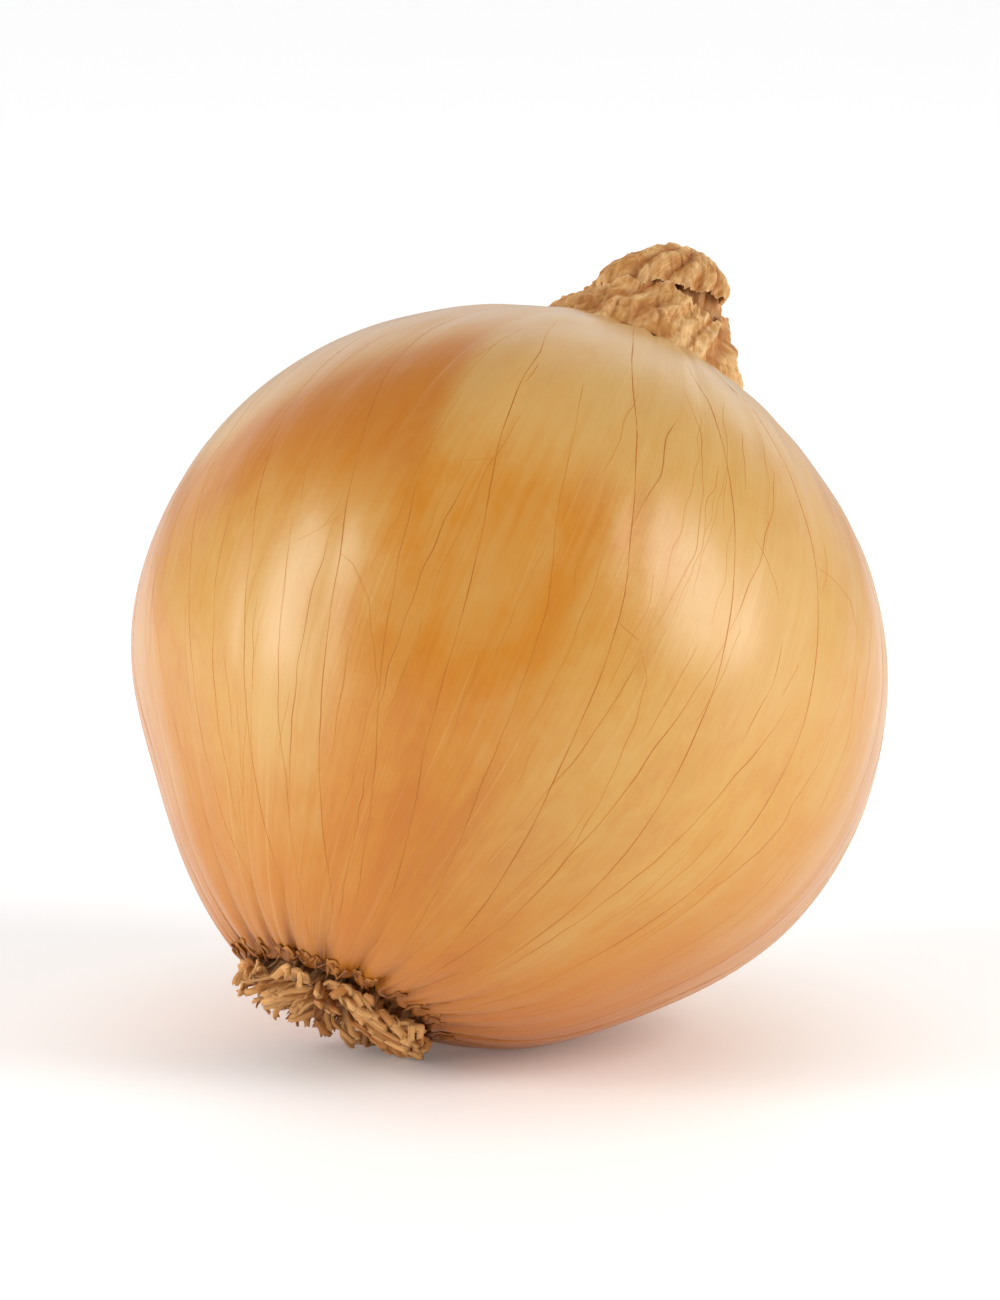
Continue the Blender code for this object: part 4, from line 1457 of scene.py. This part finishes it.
@dataclass
class NeckLeaf:
    """A withered leaf base: upright oval rings, folded along ridges and crumpled, with a torn rim.

    Each level is a ring: height and reach at its local -Y side, then at its +Y side, in mm, the strength of
    its folds, and how far the mouth at the front right is drawn in. Ridges give degrees round and mm out on
    the side that shows, and seeded ones go on round the back. The rim gives degrees round and height. deep
    is how far a ring reaches to the front over how far it reaches sideways, and behind is how many times as
    far as that it reaches to the back.
    """

    name: str
    opening: Opening
    levels: tuple[tuple[float, ...], ...]
    ridges: tuple[tuple[float, float], ...]
    rim: tuple[tuple[float, float], ...]
    seed: int
    deep: float = 0.92
    behind: float = 1.0
    forward: float = 0.0
    skew: float = 0.0
    skew_height: float = 42.0
    crumple: float = 0.30
    dents: int = 26
    wrinkles: int = 60
    flare: float = 0.25
    shade: float = 0.0
    thickness: float = 0.30
    inner_share: float = 0.42
    stations: int = 200
    easing: int = 40
    rows: int = 110
    inner_rows: int = 22
    columns: int = 440
    mouth_turn: float = 58.0
    mouth_spread: float = 42.0

    def table(self) -> Array:
        """The levels, joined by straight lines and eased.

        Returns:
            The stations, each as a level.
        """
        given = np.array(self.levels)
        at = np.linspace(0.0, len(given) - 1.0, self.stations)
        rows = np.stack([np.interp(at, np.arange(len(given)), column) for column in given.T], axis=-1)
        for _ in range(self.easing):
            rows[1:-1] = 0.25 * rows[:-2] + 0.5 * rows[1:-1] + 0.25 * rows[2:]
        return rows

    def fold(self, turn: Array, height: Array) -> Array:
        """How far the folds stand out: straight lines from ridge to ridge, slanted by skew a millimetre.

        Args:
            turn: Direction round the axis, in radians.
            height: Height along the axis, in mm.

        Returns:
            Height above the smooth leaf, in mm.
        """
        rng = np.random.default_rng(self.seed)
        known = np.array(self.ridges)
        start, stop = known[-1, 0] + 10.0, known[0, 0] + 352.0
        count = 2 * int((stop - start) / 24.0)
        back = np.linspace(start, stop, count) + rng.uniform(-3.0, 3.0, count)
        heights = rng.uniform(0.15, 0.5, count) * np.where(np.arange(count) % 2, -1.0, 1.0)
        degrees = np.concatenate([known[:, 0], back])
        out = np.concatenate([known[:, 1], heights])
        phase = np.degrees(turn) - self.skew * (height - self.skew_height)
        phase = phase + 1.2 * np.sin(1.3 * height + 2.0 * turn + self.seed)
        return np.interp(phase, degrees, out, period=360.0)

    def ragged(self, turn: Array) -> Array:
        """The rim's height at each direction, torn by straight-sided waves of two widths.

        Args:
            turn: Direction round the axis, in radians.

        Returns:
            The height, in mm.
        """
        known = np.array(self.rim)
        ring = circle(turn) * 6.0
        torn = 0.26 * Ripple(self.seed + 7, 1.0, 2.6, 4).creased(ring)
        torn = torn + 0.20 * Ripple(self.seed + 8, 0.3, 0.8, 5).creased(ring)
        return np.interp(np.degrees(turn), known[:, 0], known[:, 1], period=360.0) + torn

    def oval(self, turn: Array, share: Array, inset: Array | float) -> tuple[Array, Array, Array]:
        """Points of the folded oval rings, before crumpling.

        out = 1 + (strength fold - inset) / radius - mouth bell(turn). A point stands at radius out from the
        ring's centre, and its height runs from that of one side to that of the other.

        Args:
            turn: Direction round the axis, in radians.
            share: How far up the levels, 0 to 1.
            inset: How far inside the outer face, in mm.

        Returns:
            Points, how far each stands out in its fold, and how far into the mouth it lies.
        """
        table = self.table()
        grid = np.linspace(0.0, 1.0, len(table))
        level = [np.interp(share.ravel(), grid, column).reshape(share.shape) for column in table.T]
        low_height, low_side, high_height, high_side, strength, mouth = level
        radius = 0.5 * (high_side - low_side)
        middle = 0.5 * (high_height + low_height)
        fold = self.fold(turn, middle)
        away = (np.degrees(turn) - self.mouth_turn + 180.0) % 360.0 - 180.0
        gap = mouth * bell(away, 0.0, self.mouth_spread)
        out = 1.0 + (strength * fold - inset) / radius - gap
        side = 0.5 * (high_side + low_side) + radius * out * np.sin(turn)
        height = middle + 0.5 * (high_height - low_height) * out * np.sin(turn)
        deep = self.deep * np.where(np.cos(turn) < 0.0, self.behind, 1.0)
        front = self.forward + deep * radius * out * np.cos(turn)
        return np.stack([front, side, height], axis=-1), fold, gap

    def facets(self, points: Array, count: int, draw: int) -> Array:
        """Crumpled facets: 0 on sharp creases between seeded spots on the leaf, 1 well inside each facet.

        (second nearest spot's distance - nearest's) over 1.1 mean spacings, with heights shrunk to 0.38 and
        leaned over, so that the facets run lengthwise on a slant.

        Args:
            points: The leaf's points.
            count: How many spots.
            draw: Which of the leaf's seeded draws to use.

        Returns:
            One value per point.
        """
        rng = np.random.default_rng(self.seed + 100 * draw)
        shrunk = points * np.array([1.0, 1.0, 0.38])
        shrunk[..., 1] += 0.30 * points[..., 2]
        flat = shrunk.reshape(-1, 3)
        spots = flat[rng.choice(len(flat), count, replace=False)]
        squares = (flat**2).sum(-1)[:, None] + (spots**2).sum(-1)[None] - 2.0 * flat @ spots.T
        nearest = np.sqrt(np.maximum(np.partition(squares, 1, axis=1)[:, :2], 0.0))
        span = 1.1 * math.sqrt(200.0 / count)
        return np.clip((nearest[:, 1] - nearest[:, 0]) / span, 0.0, 1.0).reshape(points.shape[:-1])

    def rim_share(self, turn: Array) -> Array:
        """Finds how far up the levels the rim lies in each column, read off the columns' own heights.

        Args:
            turn: Each column's direction, (1, columns).

        Returns:
            The shares, one a column.
        """
        share = np.linspace(0.0, 1.0, 160)[:, None] + 0.0 * turn
        heights = np.maximum.accumulate(self.oval(turn + 0.0 * share, share, 0.0)[0][..., 2], axis=0)
        return (heights < self.ragged(turn)).mean(axis=0)

    def walls(self, rim: Array) -> tuple[Array, Array, Array]:
        """Runs the rows up the outer face to the rim and down the inner one, or the other way under a hood.

        Args:
            rim: How far up the levels the rim lies in each column, (1, columns).

        Returns:
            How far up the levels each point lies, how far from the rim, and which rows are on the inner face.
        """
        along = np.linspace(0.0, 1.0, self.rows)[:, None]
        within = np.linspace(0.0, 1.0, self.inner_rows + 1)[1:, None]
        if self.opening is Opening.UP:
            outer = rim * (1.0 - (1.0 - along) ** 1.3)
            inner = rim - self.inner_share * rim * within
            share = np.concatenate([outer, inner])
        else:
            outer = rim + (1.0 - rim) * along**1.3
            inner = (rim + self.inner_share * (1.0 - rim) * within)[::-1]
            share = np.concatenate([inner, outer])
        row = np.arange(len(share))[:, None]
        inside = row >= self.rows if self.opening is Opening.UP else row < self.inner_rows
        return share, np.abs(share - rim), inside

    def surface(self) -> Surface:
        """The leaf base as a closed shell: its outer face, its rim, and its inner face down into the dark.

        Returns:
            The surface, crumpled outwards, with its painted shade by how deep each point lies in a fold or
            hollow, and its wear and painted highlight.
        """
        turn = (TAU * np.arange(self.columns) / self.columns)[None, :]
        rim = np.clip(self.rim_share(turn), 0.02, 0.98)[None, :]
        share, from_rim, inside = self.walls(rim)
        wall = self.thickness * (0.3 + 0.7 * smooth_step(from_rim, 0.0, 0.12))
        flare = self.flare * np.exp(-from_rim / 0.05)
        turns = turn + 0.0 * share
        points, fold, gap = self.oval(turns, share, np.where(inside, wall, 0.0) - flare)
        dents = self.facets(points, self.dents, 1)
        ridges = self.facets(points, self.wrinkles, 2)
        crush = 1.15 * self.crumple * Ripple(self.seed, 2.8, 7.0, 6).creased(points)
        crush = crush + 0.45 * self.crumple * Ripple(self.seed + 1, 1.0, 2.2, 4).creased(points)
        creases = 1.15 * smooth_step(dents, 0.0, 0.36) - 0.6 * smooth_step(ridges, 0.0, 0.3)
        crush = crush + self.crumple * creases
        points = points + circle(turns, 0.25) * crush[..., None]
        # painted shade: darker down in folds and creases, in the mouth, on the shaded inner tube and on the
        # inner faces
        deep = 0.80 * smooth_step(-fold, 0.02, 0.55) + 0.34 * fall(dents, 0.0, 0.22)
        deep = deep + 1.6 * gap + self.shade
        deep = np.clip(np.where(inside, 0.35 + 2.0 * from_rim, 0.75 * deep), 0.0, 0.95)
        # wear on the torn rims, and painted highlight on the crests of the folds
        wear_and_painted_highlight = 0.75 * np.exp(-from_rim / 0.012) + 0.5 * smooth_step(fold, 0.15, 0.5)
        wear_and_painted_highlight = np.clip(wear_and_painted_highlight + 0.30 * fall(ridges, 0.0, 0.12), 0.0, 0.9) * (1.0 - self.shade)
        return Surface.rings(points, {"grain": circle(turns, points[..., 2]), "deep": deep, "wear_and_painted_highlight": wear_and_painted_highlight})

    def build(self) -> bpy.types.Object:
        """Builds the leaf base and dresses it."""
        return self.surface().piece(self.name, NeckFinish().material(), Slot.NECK, Solid.NECK)


SHEATH = NeckLeaf(
    name="neck_sheath",
    opening=Opening.UP,
    levels=(
        (37.30, -11.8, 37.2, 12.0, 0.3, 0.0), (38.2, -11.2, 38.3, 11.3, 0.5, 0.0),
        (39.3, -10.6, 39.6, 10.5, 0.8, 0.0), (40.4, -10.1, 40.9, 9.8, 1.0, 0.0),
        (41.4, -8.5, 42.6, 8.9, 1.0, 0.0), (42.2, -7.7, 44.0, 8.3, 1.0, 0.05),
        (42.8, -7.3, 45.2, 7.6, 1.0, 0.16), (43.6, -7.1, 46.4, 7.2, 0.8, 0.20),
        (45.0, -6.6, 47.8, 6.8, 0.5, 0.20),
    ),
    ridges=(
        (-92.0, 0.0), (-76.0, 0.35), (-62.0, -0.35), (-48.0, 0.45), (-36.0, 0.05), (-26.0, -0.50),
        (-13.0, 0.40), (-1.0, -0.30), (9.0, 0.40), (19.0, -0.25), (29.0, 0.45), (37.0, -0.45), (44.0, 0.75),
        (51.0, -0.30), (60.0, -0.45), (71.0, 0.40), (81.0, -0.25), (91.0, 0.45),
    ),
    rim=(
        (-120.0, 43.0), (-90.0, 43.0), (-60.0, 43.0), (-33.0, 43.5), (-17.0, 44.7), (-8.0, 45.4),
        (0.0, 45.2), (7.0, 44.6), (14.0, 44.0), (25.0, 43.6), (40.0, 43.3), (54.0, 43.2), (62.0, 43.8),
        (70.0, 44.8), (80.0, 45.4), (95.0, 45.7), (120.0, 45.3), (150.0, 44.4), (180.0, 43.6),
    ),
    seed=5,
    deep=0.94,
    skew=4.0,
)
HOOD = NeckLeaf(
    name="neck_hood",
    opening=Opening.DOWN,
    levels=(
        (40.4, -5.6, 42.4, 4.6, 0.5, 0.0), (42.0, -6.5, 44.0, 4.9, 0.8, 0.0),
        (43.6, -7.1, 45.4, 5.3, 1.0, 0.0), (45.2, -6.7, 46.8, 5.6, 1.0, 0.0),
        (46.7, -5.9, 47.9, 5.9, 1.0, 0.0), (48.0, -4.8, 48.9, 5.8, 1.0, 0.0),
        (49.0, -3.6, 49.7, 5.2, 0.9, 0.0), (50.0, -2.5, 50.4, 4.2, 0.7, 0.0),
        (50.8, -1.3, 51.0, 2.9, 0.4, 0.0), (51.2, -0.3, 51.3, 1.5, 0.1, 0.0),
    ),
    ridges=(
        (-92.0, 0.10), (-66.0, 0.30), (-44.0, 0.10), (-30.0, -0.60), (-17.0, 0.50), (-8.0, 0.10),
        (4.0, -0.55), (14.0, 0.25), (25.0, 0.35), (33.0, -0.20), (44.0, 0.40), (56.0, -0.45), (66.0, 0.35),
        (80.0, -0.30), (94.0, 0.35),
    ),
    rim=(
        (-150.0, 41.5), (-90.0, 41.0), (-40.0, 41.8), (-16.0, 43.4), (-8.0, 44.3), (4.0, 44.7),
        (20.0, 45.1), (32.0, 45.5), (42.0, 46.0), (55.0, 46.5), (68.0, 46.8), (80.0, 46.3), (95.0, 45.0),
        (130.0, 43.0), (180.0, 42.0),
    ),
    seed=23,
    deep=0.92,
    behind=1.42,
    inner_share=0.45,
    forward=0.5,
    crumple=0.24,
    flare=0.5,
)
INNER = NeckLeaf(
    name="neck_inner_tube",
    opening=Opening.UP,
    levels=(
        (41.0, -4.6, 41.6, 6.7, 0.3, 0.05), (43.2, -4.6, 43.8, 6.9, 0.6, 0.22),
        (45.0, -4.3, 45.4, 6.7, 0.8, 0.22), (46.6, -3.6, 46.9, 6.1, 0.8, 0.15),
        (47.9, -2.4, 48.0, 5.0, 0.5, 0.0),
    ),
    ridges=(
        (-80.0, 0.2), (-50.0, -0.2), (-30.0, 0.3), (-10.0, -0.35), (5.0, 0.2), (18.0, -0.3), (34.0, 0.45),
        (48.0, -0.2), (62.0, 0.4), (85.0, -0.2),
    ),
    rim=((-90.0, 47.0), (0.0, 47.0), (90.0, 47.2), (180.0, 47.0)),
    seed=41,
    deep=0.93,
    crumple=0.12,
    flare=0.1,
    shade=0.38,
    mouth_turn=44.0,
    mouth_spread=30.0,
    rows=60,
    inner_rows=12,
    columns=220,
)


@dataclass(frozen=True)
class SoftBox:
    """A soft light: where it stands, its size and its power."""

    name: str
    place: tuple[float, float, float]
    width: float
    height: float
    watts: float

    def hang(self, target: Array) -> None:
        """Adds the light, facing the target.

        Args:
            target: The point that it faces, in metres.
        """
        data = bpy.data.lights.new(self.name, "AREA")
        data.shape = "RECTANGLE"
        data.size = self.width
        data.size_y = self.height
        data.energy = self.watts
        light = bpy.data.objects.new(self.name, data)
        bpy.context.scene.collection.objects.link(light)
        back = unit(np.array(self.place) - target)
        side = unit(np.cross(np.array([0.0, 0.0, 1.0]), back))
        up = np.cross(back, side)
        light.location = self.place
        light.rotation_euler = Matrix(np.stack([side, up, back], axis=-1).tolist()).to_euler()


@dataclass
class Studio:
    """The pale floor, the soft lights and the camera.

    The glows are strengths: the surround's in front of and behind the onion, the floor's near and far, and
    the share of the floor's that is left right under the onion, which paints a shadow there. The fades say
    where each glow turns into the other, in metres or in the surround's own coordinates. aim is the bulb's
    centre in the picture, and both are in pixels.
    """

    target: tuple[float, float, float] = (0.0, 0.0, 0.038478)
    distance: float = 0.62
    elevation: float = 10.0
    lens: float = 163.0
    sensor: float = 36.0
    picture: tuple[float, float] = (1000.0, 1300.0)
    aim: tuple[float, float] = (507.0, 675.7)
    boxes: tuple[SoftBox, ...] = (
        SoftBox("left_box", (-0.78, -0.24, 0.29), 0.33, 0.78, 4.9),
        SoftBox("right_box", (0.74, -0.32, 0.44), 0.40, 0.64, 5.0),
    )
    front_glow: float = 0.32
    back_glow: float = 1.00
    floor_glow: tuple[float, float] = (0.30, 0.52)
    # painted shadow: the share of the floor's glow left right under the onion
    painted_shadow_share: float = 0.30
    painted_shadow_fade: tuple[float, float] = (0.015, 0.055)
    floor_fade: tuple[float, float] = (-0.05, 0.60)
    back_fades: tuple[tuple[float, float], tuple[float, float]] = ((0.50, 0.80), (0.0, 0.20))
    floor_across: tuple[float, float] = (-6.0, 6.0)
    floor_away: tuple[float, float] = (-3.0, 14.0)
    floor_lines: int = 9

    def floor(self) -> None:
        """Lays a pale floor, which glows more the further off it is, and less close to the onion, a painted
        shadow round it.
        """
        mesh = bpy.data.meshes.new("floor")
        across = np.linspace(*self.floor_across, self.floor_lines)
        x, y = np.meshgrid(across, np.linspace(*self.floor_away, self.floor_lines))
        grid = np.stack([x, y, 0.0 * x], axis=-1)
        index = np.arange(x.size).reshape(x.shape)
        quads = np.stack([index[:-1, :-1], index[:-1, 1:], index[1:, 1:], index[1:, :-1]], axis=-1)
        mesh.from_pydata(grid.reshape(-1, 3).tolist(), [], quads.reshape(-1, 4).tolist())
        make = Recipe("pale_floor")
        cloud = make.noise(make.spot(), (9.0, 9.0, 9.0), 2.0, 0.5, 0.0)
        colour = make.mix(cloud, (0.93, 0.93, 0.93), (0.95, 0.95, 0.95))
        normal = make.bump(cloud, 0.00001, 0.1)
        away = make.add("ShaderNodeSeparateXYZ", Vector=make.spot()).outputs["Y"]
        radius = make.add("ShaderNodeVectorMath", operation="LENGTH")
        make.put(radius.inputs[0], make.spot())
        # painted shadow: close to the onion the floor's glow is turned down
        near = make.span(radius.outputs["Value"], *self.painted_shadow_fade, self.painted_shadow_share, 1.0)
        glow = make.maths("MULTIPLY", make.span(away, *self.floor_fade, *self.floor_glow), near)
        make.put(make.shader.inputs["Emission Strength"], glow)
        mesh.materials.append(make.finish(colour, 0.55, normal, Specular_IOR_Level=0.3))
        thing = bpy.data.objects.new("floor", mesh)
        bpy.context.scene.collection.objects.link(thing)

    def light(self) -> None:
        """Hangs the boxes in a white surround that is dimmer on the camera's side."""
        for box in self.boxes:
            box.hang(np.array(self.target))
        world = bpy.data.worlds.new("surround")
        bpy.context.scene.world = world
        world.use_nodes = True
        make = Nodes(world.node_tree)
        where = make.add("ShaderNodeTexCoord").outputs["Generated"]
        split = make.add("ShaderNodeSeparateXYZ", Vector=where).outputs
        behind, above = (make.span(split[axis], *fade) for axis, fade in zip("YZ", self.back_fades))
        back = make.maths("MULTIPLY", behind, above)
        extra = make.maths("MULTIPLY", back, self.back_glow - self.front_glow)
        background = make.nodes["Background"].inputs
        background["Color"].default_value = (1.0, 1.0, 1.0, 1.0)
        make.put(background["Strength"], make.maths("ADD", extra, self.front_glow))
        bpy.context.scene.view_settings.view_transform = "Standard"

    def camera(self) -> None:
        """Sets the camera a little above the bulb, aimed so that the bulb's centre falls on aim."""
        data = bpy.data.cameras.new("camera")
        data.lens = self.lens
        data.sensor_width = self.sensor
        data.clip_start = 0.05
        data.clip_end = 60.0
        camera = bpy.data.objects.new("camera", data)
        bpy.context.scene.collection.objects.link(camera)
        tilt = math.radians(self.elevation)
        x, y, z = self.target
        camera.location = (x, y - self.distance * math.cos(tilt), z + self.distance * math.sin(tilt))
        right = (self.aim[0] - 0.5 * self.picture[0]) * self.sensor / self.picture[1]
        down = (self.aim[1] - 0.5 * self.picture[1]) * self.sensor / self.picture[1]
        pitch = math.pi / 2 - tilt + math.atan(down / self.lens)
        camera.rotation_euler = (pitch, 0.0, math.atan(right / self.lens))
        bpy.context.scene.camera = camera

    def build(self) -> None:
        """Sets up the studio."""
        self.floor()
        self.light()
        self.camera()


def main() -> None:
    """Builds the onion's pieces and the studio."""
    logging.basicConfig(level=logging.INFO, format="%(name)s: %(message)s")
    Skin().build()
    Veins().build()
    Fringe().build()
    SHEATH.build()
    HOOD.build()
    INNER.build()
    RootTuft().build()
    Studio().build()


if __name__ == "__main__":
    main()
